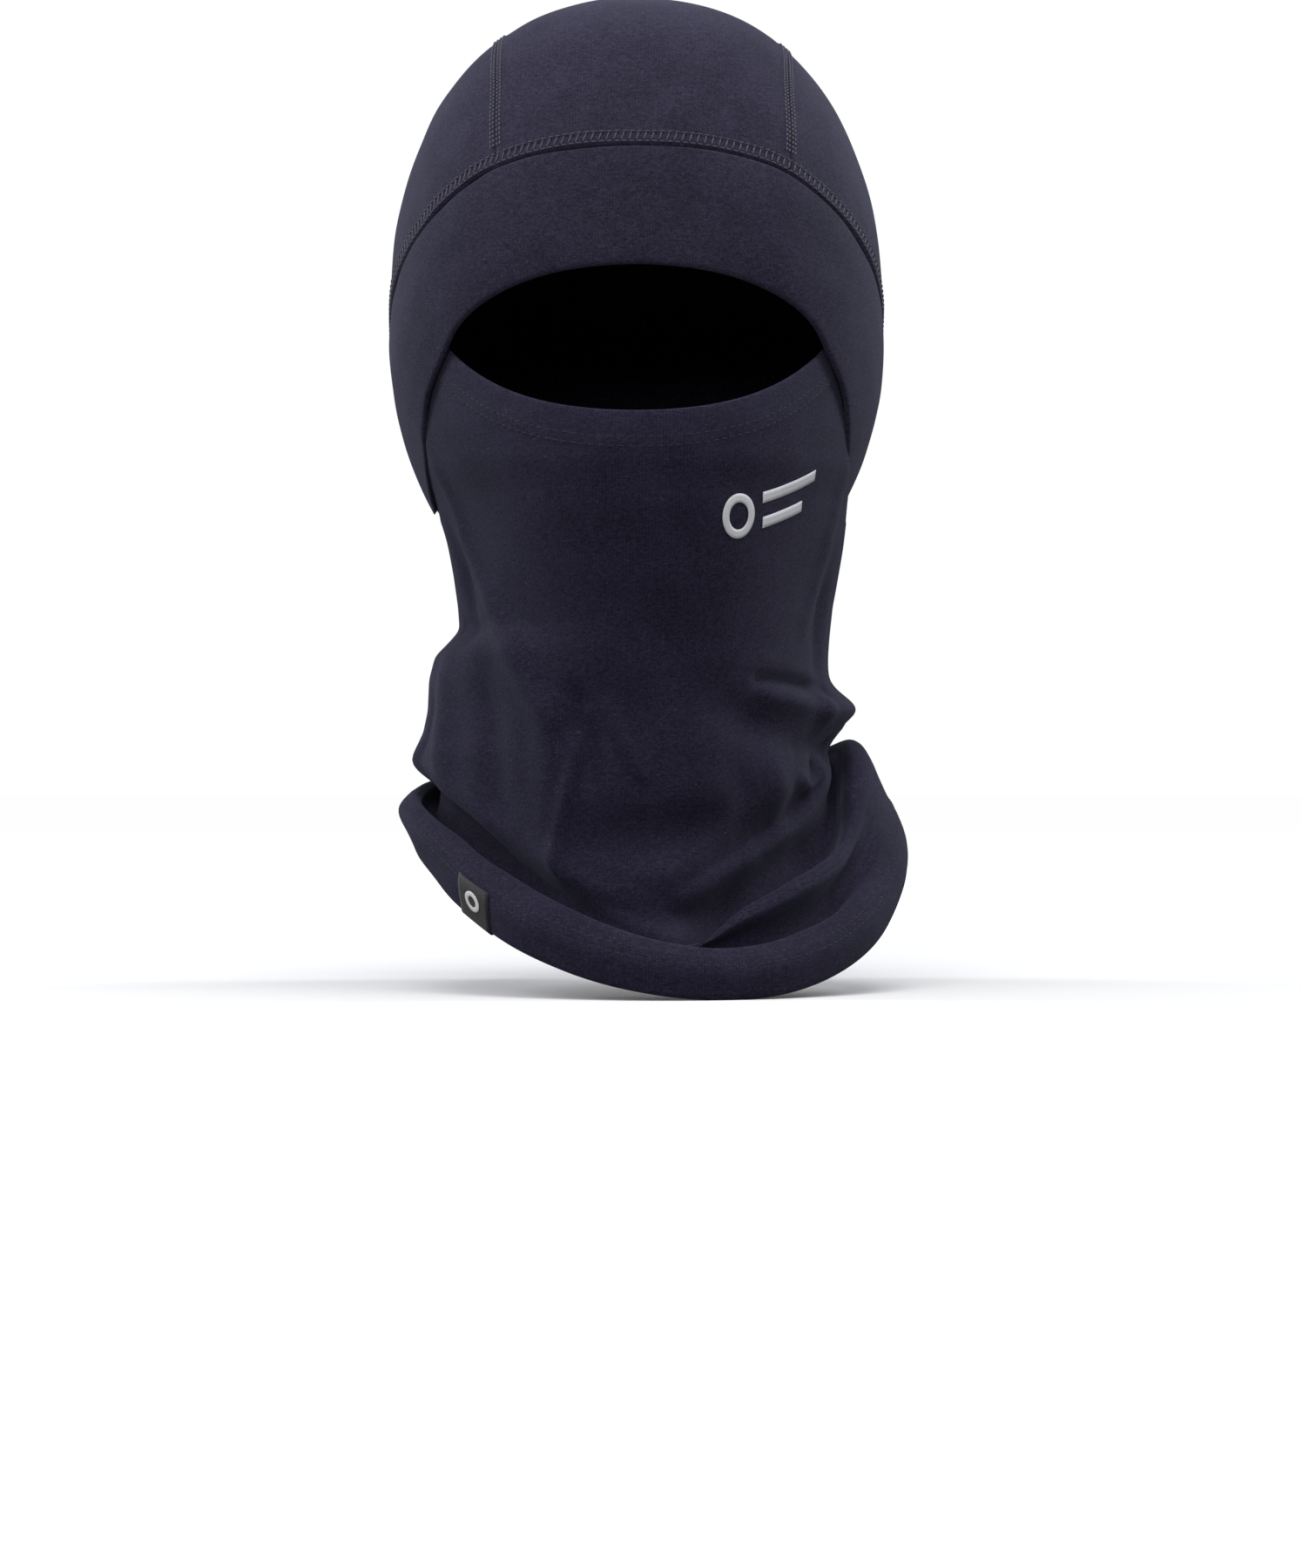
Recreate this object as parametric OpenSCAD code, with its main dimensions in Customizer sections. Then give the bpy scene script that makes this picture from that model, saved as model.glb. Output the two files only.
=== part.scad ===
// Balaclava: a hood of four sewn panels over a neck tube, with a mask that pulls down.
// Millimetres. The origin is where the crown rests on the top of the head,
// +Z is up, the face looks along -Y and +X is the wearer's left.

/* [Head] */
// Half of the head's width over the ears
head_half_width = 85; // [82:0.5:88]
// From the ear line to the forehead
head_front_depth = 99; // [97:0.5:102]
// From the ear line to the back of the head
head_back_depth = 106; // [103:0.5:109]
// From the top of the head down to its widest level
dome_height = 112; // [109:0.5:115]
// Roundness of the head: 2 is an ellipse, more is boxier
head_power = 2.25; // [2.15:0.05:2.35]

/* [Fabric] */
// Thickness of the knitted fabric
fabric = 1; // [0.8:0.1:1.1]
// Half of the gap that a flat seam leaves between two panels
seam_gap = 0.5; // [0.3:0.1:0.8]
// Sideways shift of the crown seams as the hood is worn
crown_shift = 2.5; // [-3:0.5:3]
// Width of a row of cover stitching
stitch_width = 5; // [4:0.5:6]

/* [Mask] */
// Half angle of the mask round the face, in degrees
mask_half_angle = 62; // [58:1:63]
// Height of the turned hem along the mask's upper edge
mask_hem = 12; // [9:1:14]

/* [Collar] */
// Drop from the top of the head to the hem at the back of the neck
hem_back_drop = 281; // [278:1:284]
// How much lower the hem hangs on the chest
hem_front_fall = 62; // [59:1:65]
// Turn of the hem's lowest point towards the wearer's left, in degrees
hem_twist = 12; // [9:1:15]
// Height of the turned hem round the collar
collar_hem = 16; // [14:1:18]

/* [Labels] */
// Width of the folded label on the collar hem
label_width = 14; // [12:0.5:16]
// Height of the folded label on the collar hem
label_height = 13; // [11:0.5:14]
// Width of the printed mark on the mask
print_width = 46; // [40:1:50]

/* [Hidden] */

navy = [0.16, 0.15, 0.23];
thread_navy = [0.12, 0.11, 0.18];
label_black = [0.05, 0.05, 0.05];
print_grey = [0.72, 0.73, 0.75];
label_white = [0.9, 0.9, 0.88];

panel_cells = 14;       // cells across a hood panel, and half as many again along the centre one
band_cells = 60;        // cells along the brow band
tube_rings = 18;        // cells down the neck tube
tube_sides = 48;        // cells round the neck tube
stitch_lift = 0.3;      // clearance of the stitching over the fabric
stitch_height = 0.5;    // how far the stitching stands up
ply_gap = 0.4;          // space between the two plies of the folded band
narrowing_start = 118;  // drop at which the hood starts to narrow to the neck
narrowing_length = 60;  // drop over which it narrows
side_narrowing = 0.18;  // share of the width that it loses
back_narrowing = 0.16;  // share of the back's depth that it loses
tube_power = 1.9;       // roundness of the neck tube and the mask
mask_rows = 16;         // cells down the mask
mask_columns = 32;      // cells across the mask
ribbon_cells = 36;      // cells along a straight row of stitching
label_ply = 0.4;        // thickness of a label's tape
mark_height = 0.2;      // how far a woven mark stands up
label_angle = -38;      // the hem label's place round the collar
label_half_angle = label_width / 2 / 100 * 180 / PI;
care_half_angle = 9;    // half of the care label's width, round the neck
back_stitch_angle = stitch_width / 2 / 68 * 180 / PI;
print_angle = 29;       // the printed mark's place round the mask
print_z = -181;         // height of its centre
print_tilt = 15;        // how much it rises towards the wearer's left, in degrees
print_radius = 96;      // distance of the mask from its axis there
print_depth = 0.2;      // thickness of the print
print_gap = 4;          // space between the ring and the bars
ring_radius = 8;        // outer radius of the ring
ring_width = 3;         // breadth of the ring's line
bar_height = 4;         // height of a bar
bar_pitch = 9;          // from one bar to the next
bar_step = 7;           // how much shorter the lower bar is
hem_power = 2.6;        // how sharply the hem falls towards its lowest point
corner_power = 4;       // how quickly a pull at a corner fades out

// ---------- Curves ----------

function mix(a, b, t) = a * (1 - t) + b * t;
function clamp(x, low, high) = max(low, min(high, x));
function ease(t) = let(x = clamp(t, 0, 1)) x * x * (3 - 2 * x);

// Catmull-Rom curve through every point, with t from 0 at the first to 1 at the last.
function curve(points, t) =
    let(
        last = len(points) - 1,
        place = clamp(t, 0, 1) * last,
        i = min(last - 1, floor(place)),
        f = place - i,
        b = points[i],
        c = points[i + 1],
        a = i > 0 ? points[i - 1] : 2 * b - c,
        d = i + 2 <= last ? points[i + 2] : 2 * c - b
    )
    0.5 * (2 * b + (c - a) * f + (2 * a - 5 * b + 4 * c - d) * f * f
        + (3 * b - a - 3 * c + d) * f * f * f);

// The same half curve on both sides of the middle, from the wearer's right to left.
function both_sides(half) = concat(
    [for (i = [len(half) - 1:-1:1]) [-half[i][0], half[i][1], half[i][2]]],
    half
);

// ---------- Sheets ----------

// A closed sheet between an outer and an inner grid of points, both [row][column]. Seen from
// outside, the rows run down and the columns run to the right.
module sheet(outer, inner, round = false) {
    rows = len(outer);
    columns = len(outer[0]);
    count = rows * columns;
    cells = round ? columns : columns - 1;
    function at(i, j) = i * columns + j % columns;
    function wall(a, b) = [[b, a, a + count], [b, a + count, b + count]];
    top = [for (i = [0:rows - 2], j = [0:cells - 1]) each [
        [at(i, j), at(i + 1, j + 1), at(i + 1, j)],
        [at(i, j), at(i, j + 1), at(i + 1, j + 1)]
    ]];
    bottom = [for (t = top) [t[2] + count, t[1] + count, t[0] + count]];
    row_ends = [for (j = [0:cells - 1]) each concat(
        wall(at(0, j), at(0, j + 1)),
        wall(at(rows - 1, j + 1), at(rows - 1, j))
    )];
    column_ends = round ? [] : [for (i = [0:rows - 2]) each concat(
        wall(at(i + 1, 0), at(i, 0)),
        wall(at(i, columns - 1), at(i + 1, columns - 1))
    )];
    polyhedron(
        [for (row = outer) each row, for (row = inner) each row],
        concat(top, bottom, row_ends, column_ends),
        convexity = 8
    );
}

// ---------- The hood's surface ----------

// Where a ray from the head's centre meets the head, swollen by lift and narrowed to the neck.
function on_head(p, lift = 0) =
    let(
        d = [p[0], p[1], p[2] + dome_height],
        depth = d[1] < 0 ? head_front_depth : head_back_depth,
        up = d[2] > 0 ? pow(d[2] / (dome_height + lift), head_power) : 0,
        size = pow(abs(d[0]) / (head_half_width + lift), head_power)
            + pow(abs(d[1]) / (depth + lift), head_power) + up,
        q = d / pow(size, 1 / head_power),
        narrow = pow(max(0, (dome_height - q[2] - narrowing_start) / narrowing_length), 2)
    )
    [
        q[0] * (1 - side_narrowing * narrow),
        q[1] * (1 - (q[1] > 0 ? back_narrowing * narrow : 0)),
        q[2] - dome_height
    ];
function lifted(grid, lift) = [for (row = grid) [for (p = row) on_head(p, lift)]];

// The seam between the crown and the brow band, from the forehead to behind the jaw.
seam_half = [
    [0, -92, -60], [26, -88, -62], [49, -79, -67], [66, -65, -78], [78, -46, -91],
    [84, -23, -106], [86, -2, -121], [86, 13, -143], [85, 24, -176]
];
// The folded edge round the face, from the brow to under the jaw, at the same stations.
edge_half = [
    [0, -100, -99], [27, -96, -101.5], [47, -87, -108], [60, -77, -117], [67, -68, -129],
    [73.5, -58, -140], [78, -49, -152], [82, -37, -165], [84, -12, -177]
];
// The seam between the crown's centre and side panels, from the band over the top to the nape.
crown_half = [
    [49, -79, -67], [49.5, -58, -36], [49.5, -28, -19], [49, 5, -15], [48.5, 42, -22],
    [47.5, 72, -45], [46.5, 90, -80], [45.5, 95, -118], [44.5, 96, -158], [43.5, 96, -196]
];
// The hood's lower edge, from the nape forward to behind the jaw.
lower_half = [
    [0, 107, -200], [22, 104, -199], [43.5, 96, -196], [62, 78, -191], [77, 52, -185], [85, 24, -176]
];
crown_margin = -2 * seam_gap / 40; // share of the band's width that the crown stops above the seam
crown_station = 0.25;              // where along the band the crown seams meet it
station_per_mm = 0.006;
crown_top = 3 / 9;                 // the crown seam's share of the way at the top of the head
lower_station = 0.4;               // where along the lower edge the crown seams end

// A point of the brow band: s from -1 to 1 along it, t from 0 at the seam to 1 at the folded edge.
function band_point(s, t) = mix(
    curve(both_sides(seam_half), (s + 1) / 2),
    curve(both_sides(edge_half), (s + 1) / 2),
    t
);
function lower_point(s) = curve(both_sides(lower_half), (s + 1) / 2);
function corner(side) = side * crown_station + crown_shift * station_per_mm;
// A point of a crown seam, with its start drawn onto the band.
function crown_seam(side, t, gap = 0) =
    let(
        p = curve(crown_half, t),
        shift = crown_shift * ease((150 + p[2]) / 60),
        start = [side * crown_half[0][0] + crown_shift, crown_half[0][1], crown_half[0][2]],
        pull = (band_point(corner(side), crown_margin) - start) * pow(1 - t, corner_power)
    )
    [side * (p[0] + gap) + shift, p[1], p[2]] + pull;

// A patch between four edges. low and high run across it, and start and end run up it.
function patch(low, high, start, end) =
    let(n = len(low) - 1, m = len(start) - 1)
    [for (j = [0:m]) [for (i = [0:n]) let(u = i / n, v = j / m)
        mix(low[i], high[i], v) + mix(start[j], end[j], u)
            - mix(mix(low[0], low[n], u), mix(high[0], high[n], u), v)
    ]];

function centre_grid() =
    let(n = panel_cells, m = 2 * panel_cells)
    patch(
        [for (i = [0:n]) band_point(mix(corner(-1), corner(1), i / n), crown_margin)],
        [for (i = [0:n]) lower_point(mix(-lower_station, lower_station, i / n))],
        [for (j = [0:m]) crown_seam(-1, j / m, -seam_gap)],
        [for (j = [0:m]) crown_seam(1, j / m, -seam_gap)]
    );
function side_grid(side) =
    let(n = panel_cells)
    patch(
        [for (i = [0:n]) crown_seam(side, crown_top * (1 - i / n), seam_gap)],
        [for (i = [0:n]) lower_point(side * mix(lower_station, 1, i / n))],
        [for (j = [0:n]) crown_seam(side, mix(crown_top, 1, j / n), seam_gap)],
        [for (j = [0:n]) band_point(mix(corner(side), side, j / n), crown_margin)]
    );

function reversed(grid) = [for (i = [len(grid) - 1:-1:0]) grid[i]];

module crown_centre_panel() {
    grid = reversed(centre_grid());
    color(navy) sheet(lifted(grid, fabric), lifted(grid, 0));
}
module crown_left_panel() {
    grid = side_grid(1);
    color(navy) sheet(lifted(reversed(grid), fabric), lifted(reversed(grid), 0));
}
module crown_right_panel() {
    grid = side_grid(-1);
    color(navy) sheet(lifted(grid, fabric), lifted(grid, 0));
}

// The band's section is a U: out along the outer ply, round the fold and back along the inner one.
function band_section() =
    let(
        over = fabric, under = 0,
        inside = under - ply_gap,
        ply = inside - fabric
    )
    [
        for (t = [0, 0.25, 0.5, 0.75, 0.95]) [t, over],
        [1, over - 0.35], [1, ply + 0.35],
        for (t = [0.95, 0.75, 0.5, 0.25, 0]) [t, ply],
        for (t = [0, 0.25, 0.5, 0.75, 0.95]) [t, inside],
        for (t = [0.95, 0.75, 0.5, 0.25, 0]) [t, under]
    ];
module brow_band() {
    section = band_section();
    n = len(section);
    function at(i, j) = i * n + j % n;
    points = [for (i = [0:band_cells]) let(s = 2 * i / band_cells - 1)
        each [for (k = section) on_head(band_point(s, k[0]), k[1])]];
    skin = [for (i = [0:band_cells - 1], j = [0:n - 1]) each [
        [at(i, j), at(i + 1, j + 1), at(i, j + 1)],
        [at(i, j), at(i + 1, j), at(i + 1, j + 1)]
    ]];
    // Each end is closed by the quads of the outer ply, the inner ply and the fold.
    last_out = n - 1;
    function cap(i, flip) =
        let(
            outer_ply = [for (j = [0:3]) [j, j + 1, last_out - j - 1, last_out - j]],
            inner_ply = [for (j = [0:3]) [11 - j, 12 + j, 13 + j, 10 - j]],
            fold = [[4, 5, 6, 7], [4, 7, 16, 17]],
            quads = concat(outer_ply, inner_ply, fold)
        )
        [for (q = quads) each
            let(a = at(i, q[0]), b = at(i, q[1]), c = at(i, q[2]), d = at(i, q[3]))
            flip ? [[c, b, a], [d, c, a]] : [[a, b, c], [a, c, d]]];
    color(navy) polyhedron(points, concat(skin, cap(0, false), cap(band_cells, true)), convexity = 8);
}

// ---------- The neck tube and the mask ----------

function superellipse(angle, across, along) =
    pow(pow(abs(sin(angle)) / across, tube_power) + pow(abs(cos(angle)) / along, tube_power),
        -1 / tube_power);
// A point round the neck: angle 0 is in front and +90 at the wearer's left.
function round_neck(angle, half, front, back, z, lift = 0) =
    let(r = superellipse(angle, half, cos(angle) > 0 ? front : back) + lift)
    [r * sin(angle), -r * cos(angle), z];

// Half width, front depth and back depth of the tube, at equal steps from its top to its hem.
tube_sizes = [
    [60, 101, 73], [60, 98, 66], [60, 96, 64], [60.5, 96.5, 69], [82, 109, 84], [88.5, 116, 92]
];
tube_top_half = 66;       // half width of the top edge, inside the hood's lower edge
tube_front_top = -198;    // height of the top edge behind the mask
tube_side_top = -171;     // height of the top edge at the ears
tube_back_rise = 24;      // how much lower the top edge is at the nape
collar_lean = 7.5;        // sideways lean of the collar towards the wearer's left
collar_start = 0.55;      // share of the tube's height where the collar starts to lean

function turned(angle) = angle > 180 ? angle - 360 : angle;
function hem_z(angle) =
    -(hem_back_drop + hem_front_fall * pow((1 + cos(angle - hem_twist)) / 2, hem_power));
function tube_top_z(angle) =
    let(away = abs(turned(angle)), back = pow(clamp((away - 105) / 75, 0, 1), 0.8))
    mix(tube_front_top, tube_side_top - tube_back_rise * back, ease((away - mask_half_angle) / 22));
// A point of the tube, with share from 0 at the top to 1 at the hem.
function tube_point(angle, share, lift = 0) =
    let(
        sizes = curve(tube_sizes, share),
        away = ease((abs(turned(angle)) - mask_half_angle) / 22),
        half = sizes[0] + (tube_top_half - tube_sizes[0][0]) * away * pow(1 - share, corner_power),
        z = mix(tube_top_z(angle), hem_z(angle), share),
        p = round_neck(angle, half, sizes[1], sizes[2], z, lift)
    )
    p + [collar_lean * ease((share - collar_start) / (1 - collar_start)), 0, 0];
// The share at which the tube is a given height above its hem.
function share_above_hem(angle, height) =
    1 - height / (tube_top_z(angle) - hem_z(angle));

module neck_tube() {
    function grid(lift) = [for (i = [0:tube_rings]) [for (j = [0:tube_sides - 1])
        tube_point(360 * j / tube_sides, i / tube_rings, lift)]];
    color(navy) sheet(grid(0), grid(-fabric), true);
}

// Half width and front depth of the mask, at equal steps from its wings down to its lower edge.
mask_sizes = [[75.5, 104], [74.5, 114], [74, 120], [72, 119], [66.5, 112], [63.5, 107]];
mask_wing_z = -112;       // height of the upper edge at the wings
mask_low_z = -212;        // height of the lower edge in front
mask_dip = 39;            // how much lower the upper edge is under the eyes
mask_rise = 24;           // how much higher the lower edge is at the wings
wing_angle = 66;          // angle at which the upper edge would level out

function mask_top_z(angle) = mask_wing_z - mask_dip * pow(cos(90 * angle / wing_angle), 1.4);
function mask_bottom_z(angle) = mask_low_z + mask_rise * pow(angle / mask_half_angle, 2);
function mask_point(angle, z, lift = 0) =
    let(sizes = curve(mask_sizes, (mask_wing_z - z) / (mask_wing_z - mask_low_z)))
    round_neck(angle, sizes[0], sizes[1], sizes[1], z, lift);

module mask_panel() {
    function grid(lift) = [for (i = [0:mask_rows]) [for (j = [0:mask_columns])
        let(angle = mix(-mask_half_angle, mask_half_angle, j / mask_columns))
        mask_point(angle, mix(mask_top_z(angle), mask_bottom_z(angle), i / mask_rows), lift)]];
    color(navy) sheet(grid(0), grid(-fabric));
}
module mask_hem_stitching() {
    reach = mask_half_angle - 8;
    function grid(lift) = [for (side = [0, 1]) [for (j = [0:mask_columns])
        let(angle = mix(-reach, reach, j / mask_columns))
        mask_point(angle, mask_top_z(angle) - mask_hem - stitch_width * (side - 0.5), lift)]];
    color(thread_navy) sheet(grid(stitch_lift + stitch_height), grid(stitch_lift));
}
// A point of the print: across it and up it in millimetres, tilted up to the wearer's left.
function print_point(across, up, lift) =
    let(
        turn = (across * cos(print_tilt) - up * sin(print_tilt)) / print_radius * 180 / PI,
        rise = across * sin(print_tilt) + up * cos(print_tilt)
    )
    mask_point(print_angle + turn, print_z + rise, lift);
module print_sheet(outline, round = false) {
    function grid(lift) = [for (row = outline) [for (p = row) print_point(p[0], p[1], lift)]];
    color(print_grey) sheet(grid(stitch_lift + print_depth), grid(stitch_lift), round);
}
// A plain ring beside two plain bars.
module mask_print() {
    ring_x = ring_radius - print_width / 2;
    bar_start = ring_x + ring_radius + print_gap;
    print_sheet([for (r = [ring_radius - ring_width, ring_radius]) [for (a = [0:15:345])
        [ring_x + r * cos(a), r * sin(a)]]], true);
    for (bar = [[1, print_width / 2], [-1, print_width / 2 - bar_step]])
        print_sheet([for (edge = [0.5, -0.5]) [for (t = [0:0.125:1])
            [mix(bar_start, bar[1], t), bar[0] * bar_pitch / 2 + edge * bar_height]]]);
}

// ---------- Stitching ----------

// A narrow ribbon on the hood between two edges, each a row of points.
module hood_ribbon(edges) {
    color(thread_navy)
        sheet(lifted(edges, fabric + stitch_lift + stitch_height), lifted(edges, fabric + stitch_lift));
}
module crown_stitching(side) {
    hood_ribbon([for (k = [-1, 1]) [for (j = [0:ribbon_cells])
        crown_seam(side, mix(0.03, 0.975, j / ribbon_cells), side * k * stitch_width / 2)]]);
}
module crown_left_stitching() { crown_stitching(1); }
module crown_right_stitching() { crown_stitching(-1); }
module band_stitching() {
    hood_ribbon([for (t = [-0.14, -0.02]) [for (i = [0:band_cells])
        band_point(mix(-1, 1, i / band_cells), t)]]);
}
module nape_stitching() {
    hood_ribbon([for (rise = [stitch_width + 1, 1]) [for (i = [0:band_cells])
        lower_point(mix(0.92, -0.92, i / band_cells)) + [0, 0, rise]]]);
}
module tube_back_stitching() {
    function grid(lift) = [for (i = [0:ribbon_cells]) [for (side = [-1, 1])
        let(share = mix(0.1, share_above_hem(180, collar_hem + stitch_width), i / ribbon_cells))
        tube_point(180 + side * back_stitch_angle, share, lift)]];
    color(thread_navy) sheet(grid(stitch_lift + stitch_height), grid(stitch_lift));
}
module collar_hem_stitching() {
    function grid(lift) = [for (k = [0.5, -0.5]) [for (j = [0:tube_sides - 1])
        let(angle = 360 * j / tube_sides)
        tube_point(angle, share_above_hem(angle, collar_hem + k * stitch_width), lift)]];
    color(thread_navy) sheet(grid(stitch_lift + stitch_height), grid(stitch_lift), true);
}

// ---------- Labels ----------

// A point beside the collar's hem: height above the hem and distance out from the fabric.
function hem_point(angle, height, lift) =
    tube_point(angle, share_above_hem(angle, max(0, height)), lift) + [0, 0, min(0, height)];
// The label is a strip folded round the hem, from outside the collar to inside it.
module hem_label() {
    function grid(path) = [for (p = path) [for (u = [-1:0.5:1])
        hem_point(label_angle + u * label_half_angle, p[0], p[1])]];
    over = stitch_lift + label_ply;
    color(label_black) sheet(
        grid([[label_height - 1, over], [4, over], [0, over], [-over, 0.2],
            [-over, -fabric - 0.2], [0, -fabric - over], [label_height / 2, -fabric - over]]),
        grid([[label_height - 1, stitch_lift], [4, stitch_lift], [0, stitch_lift], [-stitch_lift, 0],
            [-stitch_lift, -fabric], [0, -fabric - stitch_lift], [label_height / 2, -fabric - stitch_lift]])
    );
}
module hem_label_mark() {
    heights = label_height * [0.62, 0.32];
    function grid(lift) = [for (height = heights) [for (u = [-0.4, 0, 0.4])
        hem_point(label_angle + u * label_half_angle, height, lift)]];
    lift = stitch_lift + label_ply + 0.1;
    color(label_white) sheet(grid(lift + mark_height), grid(lift));
}
// A folded label sewn inside the back of the tube, under the nape.
module care_label() {
    function grid(lift) = [for (share = [0.12, 0.2, 0.28, 0.36]) [for (u = [-1:0.5:1])
        tube_point(180 + u * care_half_angle, share, lift)]];
    lift = -fabric - stitch_lift;
    color(label_white) sheet(grid(lift), grid(lift - label_ply));
}

crown_centre_panel();
crown_left_panel();
crown_right_panel();
brow_band();
crown_left_stitching();
crown_right_stitching();
band_stitching();
nape_stitching();
neck_tube();
tube_back_stitching();
collar_hem_stitching();
hem_label();
hem_label_mark();
care_label();
mask_panel();
mask_hem_stitching();
mask_print();
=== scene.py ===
"""A knitted jersey balaclava: three crown panels, a folded brow band, and a mask that runs down into a collar.

Lengths inside the classes are millimetres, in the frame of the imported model: the origin is where the
crown rests on the head, +Z is up, the face looks along -Y and +X is the wearer's left.
"""

import logging
import math
from collections.abc import Callable
from dataclasses import dataclass, field
from enum import Enum

import bpy
import numpy as np
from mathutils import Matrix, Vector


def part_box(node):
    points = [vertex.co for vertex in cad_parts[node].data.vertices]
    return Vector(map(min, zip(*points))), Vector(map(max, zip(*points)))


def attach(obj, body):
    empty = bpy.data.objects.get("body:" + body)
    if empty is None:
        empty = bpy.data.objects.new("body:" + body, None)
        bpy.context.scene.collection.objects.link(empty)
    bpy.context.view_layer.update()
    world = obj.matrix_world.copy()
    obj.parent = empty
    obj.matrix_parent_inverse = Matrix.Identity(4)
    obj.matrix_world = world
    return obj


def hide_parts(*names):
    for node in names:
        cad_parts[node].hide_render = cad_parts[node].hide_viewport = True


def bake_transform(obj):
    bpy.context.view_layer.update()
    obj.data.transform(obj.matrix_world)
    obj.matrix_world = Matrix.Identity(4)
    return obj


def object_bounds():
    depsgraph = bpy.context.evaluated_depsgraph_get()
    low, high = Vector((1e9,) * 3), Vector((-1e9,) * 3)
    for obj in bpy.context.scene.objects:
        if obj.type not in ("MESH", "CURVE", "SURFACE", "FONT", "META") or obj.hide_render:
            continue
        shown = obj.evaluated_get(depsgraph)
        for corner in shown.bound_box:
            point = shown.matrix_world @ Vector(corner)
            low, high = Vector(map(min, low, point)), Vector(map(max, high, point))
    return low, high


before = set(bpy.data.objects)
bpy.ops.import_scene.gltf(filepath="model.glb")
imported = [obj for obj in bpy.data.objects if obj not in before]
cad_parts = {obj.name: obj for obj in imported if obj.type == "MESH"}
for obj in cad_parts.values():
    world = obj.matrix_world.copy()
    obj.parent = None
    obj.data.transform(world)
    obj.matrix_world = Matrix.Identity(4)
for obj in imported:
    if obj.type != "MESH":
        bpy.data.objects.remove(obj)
CAD_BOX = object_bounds()

LOG = logging.getLogger("balaclava")
MM = 0.001
TINY = 1e-9
Array = np.ndarray
Colour = tuple[float, float, float]
FlatPlace = Callable[[Array, Array], Array]
SeamPath = Callable[[Array, Array], tuple[Array, Array]]


class Body(Enum):
    """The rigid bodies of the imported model."""

    HOOD = "hood"
    MASK = "mask"


class Slot(Enum):
    """The material slots."""

    JERSEY = "jersey"
    THREAD = "thread"
    LABEL_TAPE = "label_tape"
    LABEL_MARK = "label_mark"
    PRINT = "print"


class Side(Enum):
    """The wearer's two sides, as the sign of X."""

    RIGHT = -1
    LEFT = 1


# ---------- Curves and fields ----------


def smooth(t: Array | float) -> Array:
    """Eases from 0 to 1: three t squared less two t cubed, with t held between 0 and 1."""
    x = np.clip(t, 0.0, 1.0)
    return x * x * (3.0 - 2.0 * x)


def unit(v: Array) -> Array:
    """Vectors scaled to a length of one."""
    return v / np.maximum(np.linalg.norm(v, axis=-1, keepdims=True), TINY)


def curve(points: list | Array, t: Array | float) -> Array:
    """Carries a Catmull-Rom curve through every point.

    Each stretch is the cubic that passes through its two ends with the slope of the points beside them.

    Args:
        points: The points, one per row, of any number of coordinates.
        t: Places along the curve, 0 at the first point and 1 at the last; past the ends it runs straight.

    Returns:
        One point per place.
    """
    p = np.asarray(points, float)
    last = len(p) - 1
    padded = np.concatenate([[2 * p[0] - p[1]], p, [2 * p[-1] - p[-2]]])
    place = np.asarray(t, float) * last
    i = np.clip(np.floor(place).astype(int), 0, last - 1)
    deep = (...,) + (None,) * (p.ndim - 1)
    f = np.clip(place - i, 0, 1)[deep]
    a, b, c, d = (padded[i + k] for k in range(4))
    inside = 0.5 * (
        2 * b + (c - a) * f + (2 * a - 5 * b + 4 * c - d) * f * f + (3 * b - a - 3 * c + d) * f * f * f
    )
    beyond = (place - np.clip(place, 0, last))[deep]
    slope = np.where(beyond < 0, p[1] - p[0], p[-1] - p[-2])
    return inside + beyond * slope


def both_sides(half: list) -> Array:
    """Joins a half curve to its mirror image in X, from the wearer's right to left."""
    h = np.asarray(half, float)
    return np.concatenate([h[:0:-1] * [-1, 1, 1], h])


def rounded_steps(x: Array, places: tuple, values: tuple, width: float, period: float | None = None) -> Array:
    """Reads a smoothed graph: straight lines between the stations, averaged over a width.

    Args:
        x: Where to read the graph.
        places: The stations, in rising order.
        values: The value at each station.
        width: The span that the corners are averaged over.
        period: The length after which the graph repeats, or None.

    Returns:
        The value at every x.
    """
    offsets = np.linspace(-0.5, 0.5, 9) * width
    weights = 1 + np.cos(2 * np.pi * offsets / width)
    total = sum(w * np.interp(x + o, places, values, period=period) for o, w in zip(offsets, weights))
    return total / weights.sum()


def superellipse(angle: Array, across: Array | float, along: Array | float, power: float) -> Array:
    """Polar radius at degrees from the front: the powers of the shares of both half axes add up to one."""
    s, c = np.abs(np.sin(np.radians(angle))), np.abs(np.cos(np.radians(angle)))
    return ((s / across) ** power + (c / along) ** power) ** (-1 / power)


def ripple(p: Array, length: float, seed: float) -> Array:
    """A gentle unevenness: slanting sine waves through space, multiplied in pairs and added.

    Args:
        p: Points in millimetres.
        length: The longest wave in millimetres.
        seed: Where the waves start.

    Returns:
        A value between -1 and 1 per point.
    """
    x, y, z = (p[..., k] * 2 * np.pi / length for k in range(3))
    one = np.sin(x + 0.6 * z + seed) * np.sin(0.8 * y - 0.5 * z + 2 * seed)
    two = np.sin(0.7 * x - 1.1 * y + 3 * seed) * np.sin(1.3 * z + 0.4 * x + seed)
    return 0.5 * (one + two)


def normals_of(grid: Array, wrap: bool) -> Array:
    """Unit normals of a grid, from the cross product of its column and row directions.

    Args:
        grid: Points, [row, column, xyz].
        wrap: Whether the last column meets the first.

    Returns:
        One unit vector per point, outward where rows run down and columns run to the right.
    """
    down = np.gradient(grid, axis=0)
    if wrap:
        right = np.roll(grid, -1, axis=1) - np.roll(grid, 1, axis=1)
    else:
        right = np.gradient(grid, axis=1)
    return unit(np.cross(down, right))


# ---------- Meshes ----------


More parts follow.
